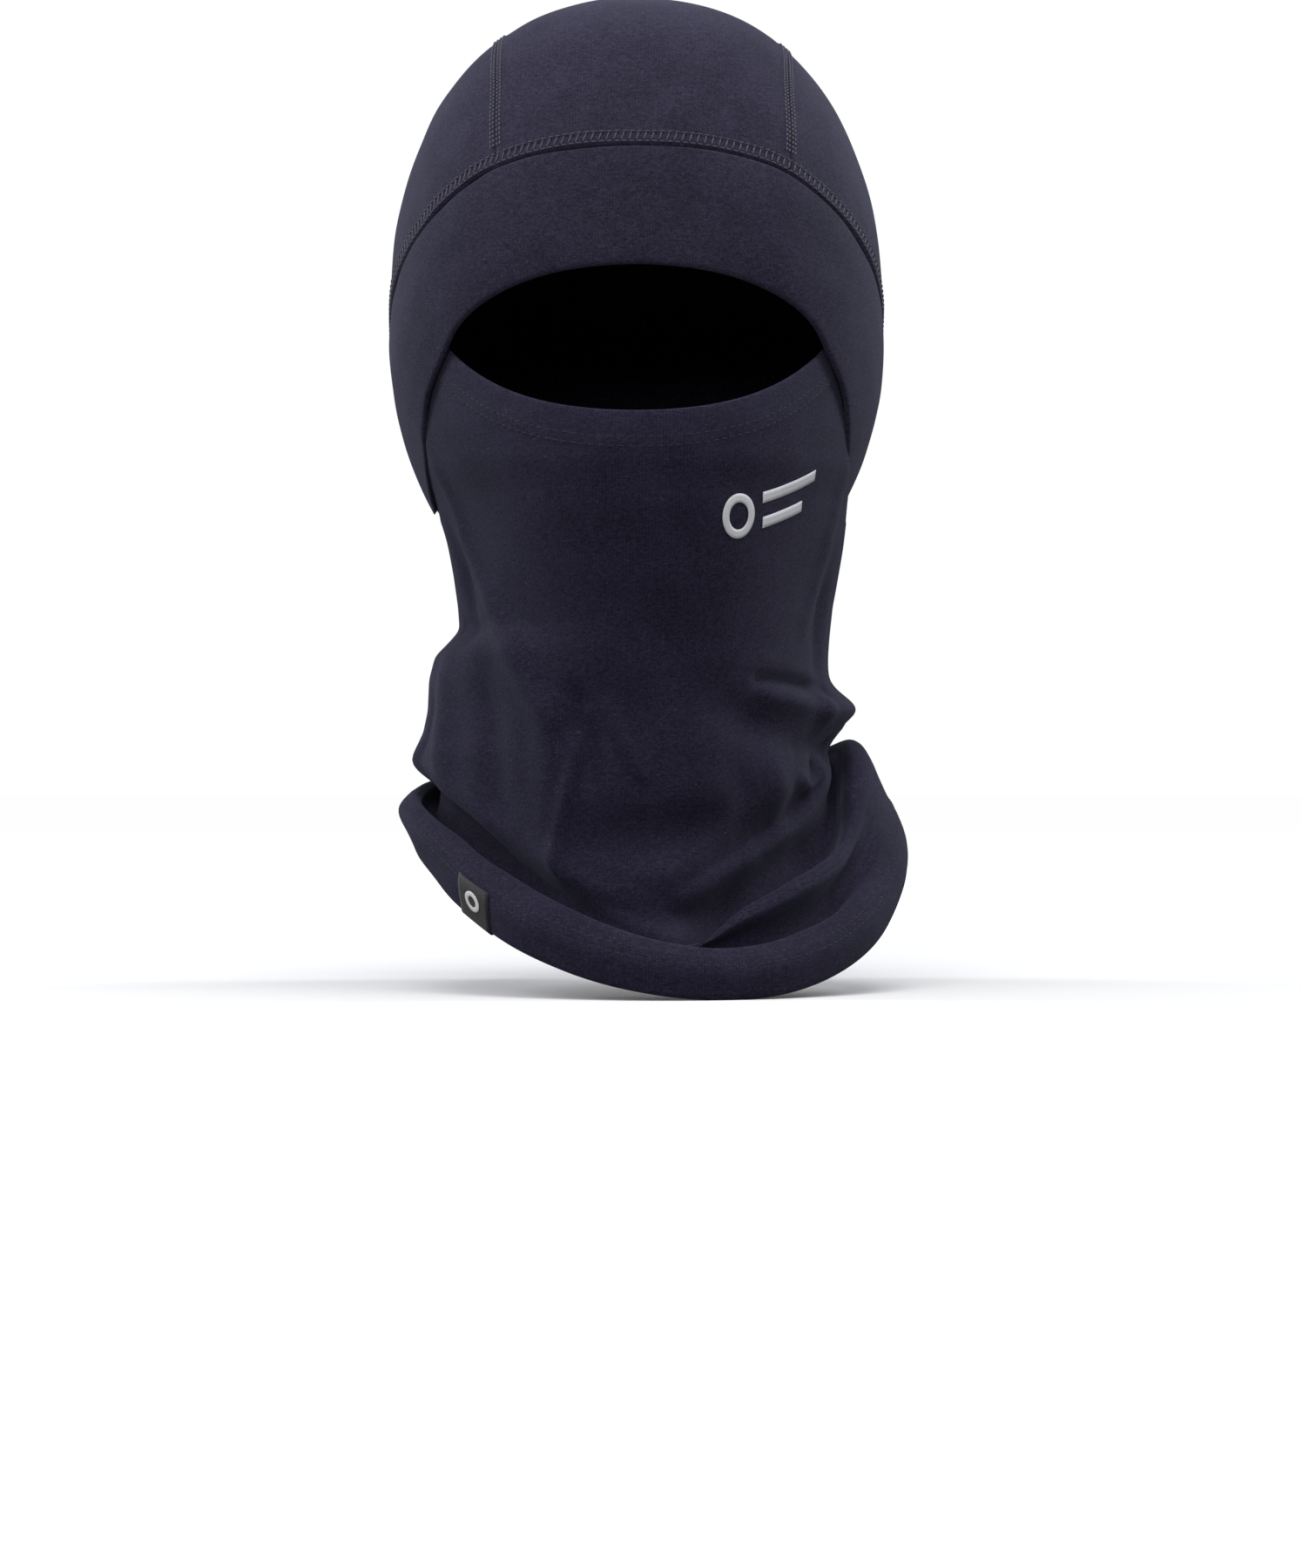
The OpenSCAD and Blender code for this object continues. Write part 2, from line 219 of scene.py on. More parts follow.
def quads_of(rows: int, columns: int, row_wrap: bool, column_wrap: bool) -> tuple[Array, Array]:
    """Quads over a grid of points, and the same corners on a grid that isn't wrapped.

    Args:
        rows: Rows of points.
        columns: Columns of points.
        row_wrap: Whether the last row meets the first.
        column_wrap: Whether the last column meets the first.

    Returns:
        Point indices, and indices into the unwrapped grid of (rows + 1) by (columns + 1), four a quad.
    """
    i = np.arange(rows if row_wrap else rows - 1)[:, None]
    j = np.arange(columns if column_wrap else columns - 1)[None, :]
    corners = ((0, 0), (1, 0), (1, 1), (0, 1))
    wrapped = [((i + a) % rows) * columns + (j + b) % columns for a, b in corners]
    flat = [(i + a) * (columns + 1) + (j + b) for a, b in corners]
    return np.stack(wrapped, -1).reshape(-1, 4), np.stack(flat, -1).reshape(-1, 4)


def signed_volume(points: Array, faces: list[Array]) -> float:
    """Volume inside the faces, negative when they point inwards: a sum of tetrahedra from the origin.

    Args:
        points: The mesh's points.
        faces: Arrays of point indices, each array with one number of corners.

    Returns:
        The volume.
    """
    total = 0.0
    for f in faces:
        for k in range(1, f.shape[1] - 1):
            a, b, c = points[f[:, 0]], points[f[:, k]], points[f[:, k + 1]]
            total += float(np.einsum("ij,ij->", a, np.cross(b, c))) / 6
    return total


def make_mesh(name: str, points: Array, faces: list[Array], uv: list[Array] | None = None) -> bpy.types.Object:
    """Makes an object whose closed mesh faces outwards, with its place in its mesh.

    Args:
        name: The piece's name.
        points: Points in millimetres.
        faces: Arrays of point indices, each array with one number of corners.
        uv: The cloth map's coordinates in metres, one array of [face, corner, 2] for each array of faces.

    Returns:
        The linked object.
    """
    if signed_volume(points, faces) < 0:
        faces = [f[:, ::-1] for f in faces]
        uv = [u[:, ::-1] for u in uv] if uv is not None else None
    mesh = bpy.data.meshes.new(name)
    sizes = np.concatenate([np.full(len(f), f.shape[1], np.int32) for f in faces])
    starts = np.concatenate([[0], np.cumsum(sizes)[:-1]]).astype(np.int32)
    corners = np.concatenate([f.reshape(-1) for f in faces]).astype(np.int32)
    mesh.vertices.add(len(points))
    mesh.vertices.foreach_set("co", (points * MM).astype(np.float32).ravel())
    mesh.loops.add(len(corners))
    mesh.loops.foreach_set("vertex_index", corners)
    mesh.polygons.add(len(sizes))
    mesh.polygons.foreach_set("loop_start", starts)
    mesh.polygons.foreach_set("loop_total", sizes)
    mesh.polygons.foreach_set("use_smooth", np.ones(len(sizes), bool))
    if uv is not None:
        layer = mesh.uv_layers.new(name="cloth")
        layer.data.foreach_set("uv", np.concatenate([u.reshape(-1) for u in uv]).astype(np.float32))
    mesh.update(calc_edges=True)
    mesh.validate()
    piece = bpy.data.objects.new(name, mesh)
    bpy.context.scene.collection.objects.link(piece)
    return piece


def cloth_map(grid: Array, row_wrap: bool = False, column_wrap: bool = False,
              along: int | None = None) -> Array:
    """Flat coordinates of a grid in metres: lengths run along one row and down its middle column.

    Args:
        grid: Points, [row, column, xyz].
        row_wrap: Whether the last row meets the first.
        column_wrap: Whether the last column meets the first.
        along: The row that the lengths run along, the middle one if not given.

    Returns:
        One pair per point of the grid, with a row and a column more where it wraps, as quads_of counts them.
    """
    row, column = grid[len(grid) // 2 if along is None else along], grid[:, grid.shape[1] // 2]

    def lengths(line: Array, wraps: bool) -> Array:
        """Length along a line to each of its points, and one point more."""
        steps = np.diff(np.concatenate([line, line[:1] if wraps else line[-1:]]), axis=0)
        return np.concatenate([[0], np.cumsum(np.linalg.norm(steps, axis=1))]) * MM

    across, down = lengths(row, column_wrap), -lengths(column, row_wrap)
    return np.stack(np.broadcast_arrays(across[None, :], down[:, None]), -1).reshape(-1, 2)


def closed_sheet(name: str, outer: Array, inner: Array) -> bpy.types.Object:
    """A sheet between two grids, walled on its four sides.

    Args:
        name: The piece's name.
        outer: Outer points, [row, column, xyz].
        inner: Inner points of the same shape.

    Returns:
        The object, with its cloth map measured along its middle row and column.
    """
    rows, columns = outer.shape[:2]
    count = rows * columns
    top, flat = quads_of(rows, columns, False, False)
    index = np.arange(count).reshape(rows, columns)
    ring = np.concatenate([index[0, :-1], index[:-1, -1], index[-1, :0:-1], index[:0:-1, 0]])
    after = np.roll(ring, -1)
    rim = np.stack([ring, after, after + count, ring + count], -1)
    places = cloth_map(outer)
    at_point = places.reshape(rows + 1, columns + 1, 2)[:rows, :columns].reshape(-1, 2)
    points = np.concatenate([outer.reshape(-1, 3), inner.reshape(-1, 3)])
    faces = [top, top[:, ::-1] + count, rim]
    uv = [places[flat], places[flat][:, ::-1], at_point[rim % count]]
    return make_mesh(name, points, faces, uv)


def closed_loop(name: str, sections: Array, ends_meet: bool) -> bpy.types.Object:
    """A solid whose section is a closed loop, carried along a path.

    Args:
        name: The piece's name.
        sections: Points, [place round the section, place along the path, xyz].
        ends_meet: Whether the path is closed; if not, each end is capped.

    Returns:
        The object, with its cloth map measured round one section and along a path a quarter of the way round.
    """
    rows, columns = sections.shape[:2]
    faces, flat = quads_of(rows, columns, True, ends_meet)
    places = cloth_map(sections, True, ends_meet, rows // 4)
    groups, uv = [faces], [places[flat]]
    if not ends_meet:
        around = np.arange(rows) * columns
        for cap in (around[::-1], around + columns - 1):
            groups.append(cap[None, :])
            uv.append(places[np.zeros((1, rows), int)])
    return make_mesh(name, sections.reshape(-1, 3), groups, uv)


@dataclass
class Cloth:
    """A surface of fabric that other pieces are laid on."""

    grid: Array
    wrap: bool
    normal: Array = field(init=False)

    def __post_init__(self) -> None:
        """Works out the unit normals."""
        self.normal = normals_of(self.grid, self.wrap)

    def at(self, row: Array, column: Array, lift: Array | float = 0.0) -> Array:
        """Points between the grid's own, by straight mixing, raised along the normal.

        Args:
            row: Row places, fractions allowed.
            column: Column places, fractions allowed.
            lift: Height above the cloth in millimetres.

        Returns:
            One point per place.
        """
        rows, columns = self.grid.shape[:2]
        row, column = np.broadcast_arrays(np.asarray(row, float), np.asarray(column, float))
        i = np.clip(np.floor(row).astype(int), 0, rows - 2)
        j = np.floor(column).astype(int)
        if not self.wrap:
            j = np.clip(j, 0, columns - 2)
        f, g = (row - i)[..., None], (column - j)[..., None]
        j, k = j % columns, (j + 1) % columns

        def mixed(a: Array) -> Array:
            """The value between the four corners of a cell."""
            return (a[i, j] * (1 - g) + a[i, k] * g) * (1 - f) + (a[i + 1, j] * (1 - g) + a[i + 1, k] * g) * f

        return mixed(self.grid) + unit(mixed(self.normal)) * np.asarray(lift, float)[..., None]

    def above(self, row: Array, column: Array, lift: float) -> tuple[Array, Array]:
        """Points raised over the cloth, and the cloth's normals there."""
        low = self.at(row, column, lift)
        return low, self.at(row, column, lift + 1) - low

    def rows_at(self, distance: float, from_last: bool) -> Array:
        """Finds a line at an even distance from an edge.

        Args:
            distance: Distance along the cloth in millimetres.
            from_last: Whether it is measured from the last row, not the first.

        Returns:
            One row place per column.
        """
        grid = self.grid[::-1] if from_last else self.grid
        step = np.linalg.norm(np.diff(grid, axis=0), axis=-1)
        along = np.concatenate([np.zeros((1, grid.shape[1])), np.cumsum(step, axis=0)])
        i = np.clip((along <= distance).sum(axis=0) - 1, 0, len(step) - 1)
        j = np.arange(grid.shape[1])
        row = i + (distance - along[i, j]) / np.maximum(step[i, j], TINY)
        return len(grid) - 1 - row if from_last else row


# ---------- Sewing ----------


@dataclass(frozen=True)
class CoverStitch:
    """Rows of needle thread, with a looper thread that may cross between them.

    Each stitch is a closed spindle: rings of points at its shoulders and middle, as (place along it, share
    of its breadth), and a point at each tip, sunk into the cloth.
    """

    length: float
    rows: tuple[float, ...]
    pitch: float
    thread: float
    crossing: bool = True
    sides: int = 5
    shoulders: tuple = ((0.18, 0.9), (0.5, 1.15), (0.82, 0.9))
    sink: float = 0.4
    gap: float = 0.08

    def spindle_faces(self) -> Array:
        """Triangles of one spindle: a fan at each tip and two bands between the rings.

        Returns:
            Point indices, [triangle, corner].
        """
        k = np.arange(self.sides)
        after = (k + 1) % self.sides
        bands = len(self.shoulders) - 1
        faces = [np.stack([np.zeros_like(k), 1 + after, 1 + k], -1)]
        for r in range(bands):
            a, b = 1 + r * self.sides, 1 + (r + 1) * self.sides
            faces += [np.stack([a + k, a + after, b + after], -1), np.stack([a + k, b + after, b + k], -1)]
        last = 1 + bands * self.sides
        tip = np.full_like(k, last + self.sides)
        faces.append(np.stack([last + k, last + after, tip], -1))
        return np.concatenate(faces)

    def spindles(self, start: Array, end: Array, normal: Array) -> tuple[Array, Array]:
        """Thin closed spindles from start to end, laid on the cloth.

        Args:
            start: Where each thread dives in, [n, 3].
            end: Where it comes out, [n, 3].
            normal: The cloth's normal there, [n, 3].

        Returns:
            Points, and triangles as point indices.
        """
        along = end - start
        across = unit(np.cross(normal, along))
        angle = (2 * np.pi * np.arange(self.sides) / self.sides)[:, None]
        ring = (across[:, None] * np.cos(angle) + normal[:, None] * np.sin(angle)) * self.thread / 2
        rings = [start[:, None] + along[:, None] * t + ring * s for t, s in self.shoulders]
        sunk = normal * self.thread * self.sink
        points = np.concatenate([(start - sunk)[:, None], *rings, (end - sunk)[:, None]], axis=1)
        first = np.arange(len(start)) * points.shape[1]
        return points.reshape(-1, 3), (self.spindle_faces()[None] + first[:, None, None]).reshape(-1, 3)

    def sew(self, name: str, path: SeamPath) -> bpy.types.Object:
        """Sews the rows along a path on the cloth.

        Args:
            name: The piece's name.
            path: Gives points and normals, from shares along the path and offsets across it in millimetres.

        Returns:
            The object that holds every thread.
        """
        t = np.linspace(0, 1, max(2, int(round(self.length / self.pitch))) + 1)
        placed = [path(t, np.full_like(t, offset)) for offset in self.rows]
        starts, ends, normals = [], [], []
        for p, n in placed:
            reach = (p[1:] - p[:-1]) * self.gap
            starts.append(p[:-1] + reach)
            ends.append(p[1:] - reach)
            normals.append((n[:-1] + n[1:]) / 2)
        if self.crossing:
            for (p, n), (q, _) in zip(placed[:-1], placed[1:]):
                starts.append(p[:-1])
                ends.append((q[:-1] + q[1:]) / 2)
                normals.append(n[:-1])
        points, faces = self.spindles(*(np.concatenate(x) for x in (starts, ends, normals)))
        return make_mesh(name, points, [faces])


CROWN_STITCH = CoverStitch(375, (-2.1, -0.75, 0.75, 2.1), 2.1, 0.55, crossing=False)
BAND_STITCH = CoverStitch(420, (-1.9, 1.9), 2.5, 0.5)
NAPE_STITCH = CoverStitch(250, (-1.8, 1.8), 2.6, 0.45)
BACK_STITCH = CoverStitch(110, (-1.9, 0.0, 1.9), 2.6, 0.42)
MASK_HEM_STITCH = CoverStitch(190, (-1.6, 1.6), 2.7, 0.34, crossing=False)
COLLAR_HEM_STITCH = CoverStitch(620, (-1.7, 1.7), 2.8, 0.36, crossing=False)


# ---------- Finishes ----------


@dataclass
class Bench:
    """Adds nodes to one node tree; an input is a number, a colour or another node's socket."""

    tree: bpy.types.NodeTree

    def put(self, socket: bpy.types.NodeSocket, value: object) -> None:
        """Links a socket or sets its value.

        Args:
            socket: The input to feed.
            value: A socket to link, or a number or colour to set.
        """
        if isinstance(value, bpy.types.NodeSocket):
            self.tree.links.new(value, socket)
        else:
            socket.default_value = value

    def add(self, kind: str, inputs: dict | None = None, **settings: object) -> bpy.types.Node:
        """Adds a node.

        Args:
            kind: The node's type.
            inputs: Values or sockets by input name or number.
            settings: The node's own settings.

        Returns:
            The node.
        """
        node = self.tree.nodes.new(kind)
        for key, value in settings.items():
            setattr(node, key, value)
        for key, value in (inputs or {}).items():
            self.put(node.inputs[key], value)
        return node

    def math(self, operation: str, *values: object) -> bpy.types.NodeSocket:
        """The result of a Math node."""
        return self.add("ShaderNodeMath", dict(enumerate(values)), operation=operation).outputs[0]

    def lean(self, value: object, weight: float, base: object) -> bpy.types.NodeSocket:
        """A base, pushed up or down by how far a value lies from a half, times a weight."""
        return self.math("MULTIPLY_ADD", self.math("SUBTRACT", value, 0.5), weight, base)

    def noise(self, place: object, scale: float, detail: float = 2.0,
              distortion: float = 0.0) -> bpy.types.NodeSocket:
        """Fractal noise from 0 to 1 at a scale per metre."""
        inputs = {"Vector": place, "Scale": scale, "Detail": detail, "Distortion": distortion}
        return self.add("ShaderNodeTexNoise", inputs).outputs["Fac"]

    def step(self, value: object, low: float, high: float) -> bpy.types.NodeSocket:
        """Maps a value smoothly from 0 at low to 1 at high."""
        inputs = {"Value": value, "From Min": low, "From Max": high}
        return self.add("ShaderNodeMapRange", inputs, interpolation_type="SMOOTHSTEP").outputs["Result"]

    def blend(self, share: object, a: object, b: object) -> bpy.types.NodeSocket:
        """A colour mixed from a to b."""
        return self.add("ShaderNodeMix", {0: share, 6: a, 7: b}, data_type="RGBA").outputs[2]


def opaque(colour: Colour) -> tuple[float, float, float, float]:
    """A colour with an alpha of one."""
    return (*colour, 1.0)


def shader_group(name: str, inputs: dict, outputs: dict) -> tuple[Bench, bpy.types.Node, bpy.types.Node]:
    """Makes an empty shader node group.

    Args:
        name: The group's name.
        inputs: Socket types by name.
        outputs: Socket types by name.

    Returns:
        A bench on the group, its input node and its output node.
    """
    tree = bpy.data.node_groups.new(name, "ShaderNodeTree")
    for direction, sockets in (("INPUT", inputs), ("OUTPUT", outputs)):
        for label, kind in sockets.items():
            tree.interface.new_socket(label, in_out=direction, socket_type=f"NodeSocket{kind}")
    bench = Bench(tree)
    return bench, bench.add("NodeGroupInput"), bench.add("NodeGroupOutput")


def heather_group() -> bpy.types.NodeTree:
    """Brushed, heathered fibre: uneven dye, short fuzz and specks of lint, by place on the piece, with painted
    shade from the knit's loops, darker in their furrows and lighter on their ridges.

    Returns:
        The group.
    """
    bench, given, out = shader_group(
        "heather",
        {"Place": "Vector", "Shade": "Color", "Light": "Color", "Lint": "Float", "Loops": "Float"},
        {"Color": "Color", "Roughness": "Float", "Fuzz": "Float"},
    )
    place = given.outputs["Place"]
    drawn_out = {0: place, 1: (1.0, 1.0, 2.4)}
    stretched = bench.add("ShaderNodeVectorMath", drawn_out, operation="MULTIPLY").outputs[0]
    fuzz = bench.noise(place, 1500, 3, 0.6)
    fibre = bench.noise(stretched, 640, 4, 1.2)
    mottle = bench.noise(place, 60, 3, 0.4)
    share = bench.lean(fibre, 1.5, 0.45)
    share = bench.lean(mottle, 0.45, share)
    share = bench.lean(fuzz, 1.0, share)
    # Painted shade: the knit's loops lighten the colour on their ridges and darken it in their furrows.
    share = bench.lean(given.outputs["Loops"], 0.35, share)
    dye_and_loop_shade = bench.blend(bench.step(share, 0.0, 1.0), given.outputs["Shade"], given.outputs["Light"])
    fleck = bench.step(bench.noise(stretched, 780, 1, 2.0), 0.735, 0.79)
    fleck = bench.math("MULTIPLY", fleck, given.outputs["Lint"])
    bench.put(out.inputs["Color"], bench.blend(fleck, dye_and_loop_shade, (0.22, 0.21, 0.25, 1.0)))
    bench.put(out.inputs["Roughness"], bench.math("MULTIPLY_ADD", fuzz, 0.18, 0.74))
    bench.put(out.inputs["Fuzz"], bench.math("MULTIPLY_ADD", fibre, 0.6, bench.math("MULTIPLY", fuzz, 0.4)))
    return bench.tree


def knit_group() -> bpy.types.NodeTree:
    """Plain jersey on the cloth map: columns of V-shaped loops, each a ridge with a furrow beside it.

    Returns:
        The group.
    """
    bench, given, out = shader_group("jersey knit", {"Cloth": "Vector", "Wale": "Float"}, {"Loops": "Float"})
    apart = bench.add("ShaderNodeSeparateXYZ", {0: given.outputs["Cloth"]})
    across = bench.math("DIVIDE", apart.outputs[0], given.outputs["Wale"])
    along = bench.math("DIVIDE", apart.outputs[1], bench.math("MULTIPLY", given.outputs["Wale"], 0.8))
    ridge = bench.math("MULTIPLY", bench.math("PINGPONG", across, 0.5), 2.0)
    phase = bench.math("MULTIPLY_ADD", ridge, 0.55, along)
    loop = bench.math("SINE", bench.math("MULTIPLY", phase, 2 * math.pi))
    loop = bench.math("MULTIPLY_ADD", loop, 0.25, 0.25)
    bench.put(out.inputs["Loops"], bench.math("MULTIPLY_ADD", ridge, 0.5, loop))
    return bench.tree


def twist_group() -> bpy.types.NodeTree:
    """Twisted plies or a fine rib: slanting stripes by place, roughened by fibre.

    Returns:
        The group.
    """
    bench, given, out = shader_group(
        "ply twist",
        {"Place": "Vector", "Shade": "Color", "Light": "Color", "Stripes": "Float"},
        {"Color": "Color", "Height": "Float"},
    )
    place, scale = given.outputs["Place"], given.outputs["Stripes"]
    wave = {"Vector": place, "Scale": scale, "Distortion": 1.2, "Detail": 1.0}
    stripes = bench.add("ShaderNodeTexWave", wave, bands_direction="DIAGONAL").outputs["Fac"]
    fibre = bench.noise(place, 2200, 2)
    height = bench.math("MULTIPLY_ADD", fibre, 0.4, bench.math("MULTIPLY", stripes, 0.6))
    bench.put(out.inputs["Color"], bench.blend(height, given.outputs["Shade"], given.outputs["Light"]))
    bench.put(out.inputs["Height"], height)
    return bench.tree


@dataclass
class Effects:
    """The shared node groups."""

    heather: bpy.types.NodeTree = field(default_factory=heather_group)
    knit: bpy.types.NodeTree = field(default_factory=knit_group)
    twist: bpy.types.NodeTree = field(default_factory=twist_group)


def new_material(name: str) -> tuple[bpy.types.Material, Bench, bpy.types.Node, bpy.types.NodeSocket]:
    """Makes an empty material.

    Args:
        name: The material's name.

    Returns:
        The material, a bench on it, its Principled BSDF and its Object coordinates.
    """
    material = bpy.data.materials.new(name)
    material.use_nodes = True
    bench = Bench(material.node_tree)
    bsdf = next(n for n in material.node_tree.nodes if n.type == "BSDF_PRINCIPLED")
    return material, bench, bsdf, bench.add("ShaderNodeTexCoord").outputs["Object"]


@dataclass(frozen=True)
class JerseyFinish:
    """Brushed jersey: knit loops under heathered fibre, with a soft sheen at its edges."""

    name: str
    shade: Colour
    light: Colour
    wale: float = 0.00095
    lint: float = 0.35
    bump: float = 0.55
    relief: float = 0.00028
    loop_height: float = 0.45
    fuzz_height: float = 0.75
    gloss: float = 0.10
    sheen: float = 0.12
    sheen_roughness: float = 0.45
    sheen_tint: Colour = (0.62, 0.66, 0.90)

    def make(self, effects: Effects) -> bpy.types.Material:
        """Builds the material.

        Args:
            effects: The shared node groups.

        Returns:
            The material.
        """
        material, bench, bsdf, place = new_material(self.name)
        cloth = bench.add("ShaderNodeUVMap", uv_map="cloth").outputs["UV"]
        knit = bench.add("ShaderNodeGroup", {"Cloth": cloth, "Wale": self.wale}, node_tree=effects.knit)
        loops = knit.outputs["Loops"]
        fibre = bench.add("ShaderNodeGroup", {
            "Place": place, "Shade": opaque(self.shade), "Light": opaque(self.light),
            "Lint": self.lint, "Loops": loops,
        }, node_tree=effects.heather)
        fuzz = bench.math("MULTIPLY", fibre.outputs["Fuzz"], self.fuzz_height)
        height = bench.math("MULTIPLY_ADD", loops, self.loop_height, fuzz)
        bump = bench.add("ShaderNodeBump", {"Strength": self.bump, "Distance": self.relief, "Height": height})
        bench.put(bsdf.inputs["Base Color"], fibre.outputs["Color"])
        bench.put(bsdf.inputs["Roughness"], fibre.outputs["Roughness"])
        bench.put(bsdf.inputs["Normal"], bump.outputs["Normal"])
        bsdf.inputs["Specular IOR Level"].default_value = self.gloss
        bsdf.inputs["Sheen Weight"].default_value = self.sheen
        bsdf.inputs["Sheen Roughness"].default_value = self.sheen_roughness
        bsdf.inputs["Sheen Tint"].default_value = opaque(self.sheen_tint)
        return material


@dataclass(frozen=True)
class YarnFinish:
    """Twisted thread, woven tape or matt ink: striped plies with fibre, in one or two shades."""

    name: str
    shade: Colour
    light: Colour
    stripes: float
    roughness: float = 0.6
    bump: float = 0.5
    relief: float = 0.00012
    gloss: float = 0.3
    sheen: float = 0.15

    def make(self, effects: Effects) -> bpy.types.Material:
        """Builds the material.

        Args:
            effects: The shared node groups.

        Returns:
            The material.
        """
        material, bench, bsdf, place = new_material(self.name)
        plies = bench.add("ShaderNodeGroup", {
            "Place": place, "Shade": opaque(self.shade), "Light": opaque(self.light), "Stripes": self.stripes,
        }, node_tree=effects.twist)
        height = plies.outputs["Height"]
        bump = bench.add("ShaderNodeBump", {"Strength": self.bump, "Distance": self.relief, "Height": height})
        bench.put(bsdf.inputs["Base Color"], plies.outputs["Color"])
        bench.put(bsdf.inputs["Normal"], bump.outputs["Normal"])
        bsdf.inputs["Roughness"].default_value = self.roughness
        bsdf.inputs["Specular IOR Level"].default_value = self.gloss
        bsdf.inputs["Sheen Weight"].default_value = self.sheen
        return material


JERSEY = JerseyFinish("navy jersey", (0.0095, 0.0080, 0.0185), (0.036, 0.032, 0.058))
# Painted shade: the same navy jersey made darker for the mask and neck, which the top light leaves in shade.
JERSEY_SHADED = JerseyFinish(
    "navy jersey, painted shade", (0.0075, 0.0063, 0.0160), (0.0285, 0.0250, 0.0500), sheen=0.09
)
THREAD = YarnFinish("navy thread", (0.026, 0.024, 0.040), (0.100, 0.094, 0.132), 900, sheen=0.1)
DARK_THREAD = YarnFinish("dark navy thread", (0.008, 0.0068, 0.016), (0.026, 0.023, 0.044), 900, sheen=0.03)
TAPE = YarnFinish("black woven tape", (0.004, 0.004, 0.005), (0.020, 0.020, 0.022), 1500, roughness=0.5)
MARK = YarnFinish("white woven thread", (0.45, 0.45, 0.43), (0.85, 0.85, 0.82), 1500, roughness=0.55)
SATIN = YarnFinish("satin ribbon", (0.55, 0.55, 0.53), (0.80, 0.80, 0.78), 1100, roughness=0.35)
INK = YarnFinish(
    "grey ink", (0.42, 0.43, 0.46), (0.86, 0.87, 0.90), 1100, roughness=0.45, bump=0.35, sheen=0.0
)


@dataclass
class Wardrobe:
    """Gives each piece its finish, its body, and the CAD nodes that it stands for.

    A piece that bends is tied to no body: its place is baked into its mesh.
    """

    effects: Effects
    pieces: dict[str, bpy.types.Object] = field(default_factory=dict)
    materials: dict[str, bpy.types.Material] = field(default_factory=dict)
    bend_start: tuple[float, float, float] = (0.0, 0.0, -0.175)
    bend_end: tuple[float, float, float] = (0.0, -0.07, -0.105)

    def dress(self, piece: bpy.types.Object, finish: JerseyFinish | YarnFinish, slot: Slot,
              *nodes: str, bends: bool = False) -> None:
        """Finishes a piece and ties it to the frame.

        Args:
            piece: The piece.
            finish: Its finish.
            slot: The material slot; not used.
            nodes: The CAD nodes that it stands for.
            bends: Whether it runs from the hood's body to the mask's.
        """
        if finish.name not in self.materials:
            self.materials[finish.name] = finish.make(self.effects)
        piece.data.materials.append(self.materials[finish.name])
        if bends:
            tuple(self.bend_start)
            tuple(self.bend_end)
            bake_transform(piece)
        else:
            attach(piece, Body.HOOD.value)
        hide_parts(*nodes)
        self.pieces[piece.name] = piece
        LOG.info("%s: %d faces, stands for %s", piece.name, len(piece.data.polygons), ", ".join(nodes))


# ---------- Hood ----------


@dataclass
class Head:
    """The surface that the hood lies on: a superellipsoid that narrows to the neck.

    Below its widest level the section stays as it is, apart from a narrowing of the sides and the back
    that grows with the square of the drop.
    """

    half_width: float
    front: float = 99.0
    back: float = 106.0
    dome: float = 112.0
    power: float = 2.25
    fabric: float = 1.0
    narrow_from: float = 118.0
    narrow_over: float = 60.0
    side_narrowing: float = 0.18
    back_narrowing: float = 0.16

    def narrow(self, z: Array) -> Array:
        """Square of the drop below the level where the hood starts to narrow."""
        return np.maximum(0, (-z - self.narrow_from) / self.narrow_over) ** 2

    def project(self, p: Array, lift: Array | float = 0.0) -> Array:
        """Draws points along rays from the head's centre onto the swollen surface, then narrows it.

        Args:
            p: Points near the head, in millimetres.
            lift: How far the surface is swollen at each point.

        Returns:
            One point per point.
        """
        d = p + np.array([0, 0, self.dome])
        lift = np.broadcast_to(np.asarray(lift, float), d.shape[:-1])
        depth = np.where(d[..., 1] < 0, self.front, self.back) + lift
        up = np.maximum(d[..., 2], 0) / (self.dome + lift)
        size = (
            (np.abs(d[..., 0]) / (self.half_width + lift)) ** self.power
            + (np.abs(d[..., 1]) / depth) ** self.power
            + up**self.power
        )
        q = d / (size ** (1 / self.power))[..., None] - np.array([0, 0, self.dome])
        n = self.narrow(q[..., 2])
        x = q[..., 0] * (1 - self.side_narrowing * n)
        y = q[..., 1] * (1 - np.where(q[..., 1] > 0, self.back_narrowing * n, 0))
        return np.stack([x, y, q[..., 2]], -1)

    def inside_radius(self, angle: Array, z: Array, lift: float) -> Array:
        """Polar radius of the surface below its widest level, at an angle from the front, in degrees.

        Args:
            angle: Degrees from the front.
            z: Heights.
            lift: How far the surface is swollen.

        Returns:
            One radius per place.
        """
        n = self.narrow(z)
        side = (self.half_width + lift) * (1 - self.side_narrowing * n)
        ahead = np.abs(((np.asarray(angle) + 180) % 360) - 180) < 90
        depth = np.where(ahead, self.front + lift, (self.back + lift) * (1 - self.back_narrowing * n))
        return superellipse(angle, side, depth, self.power)


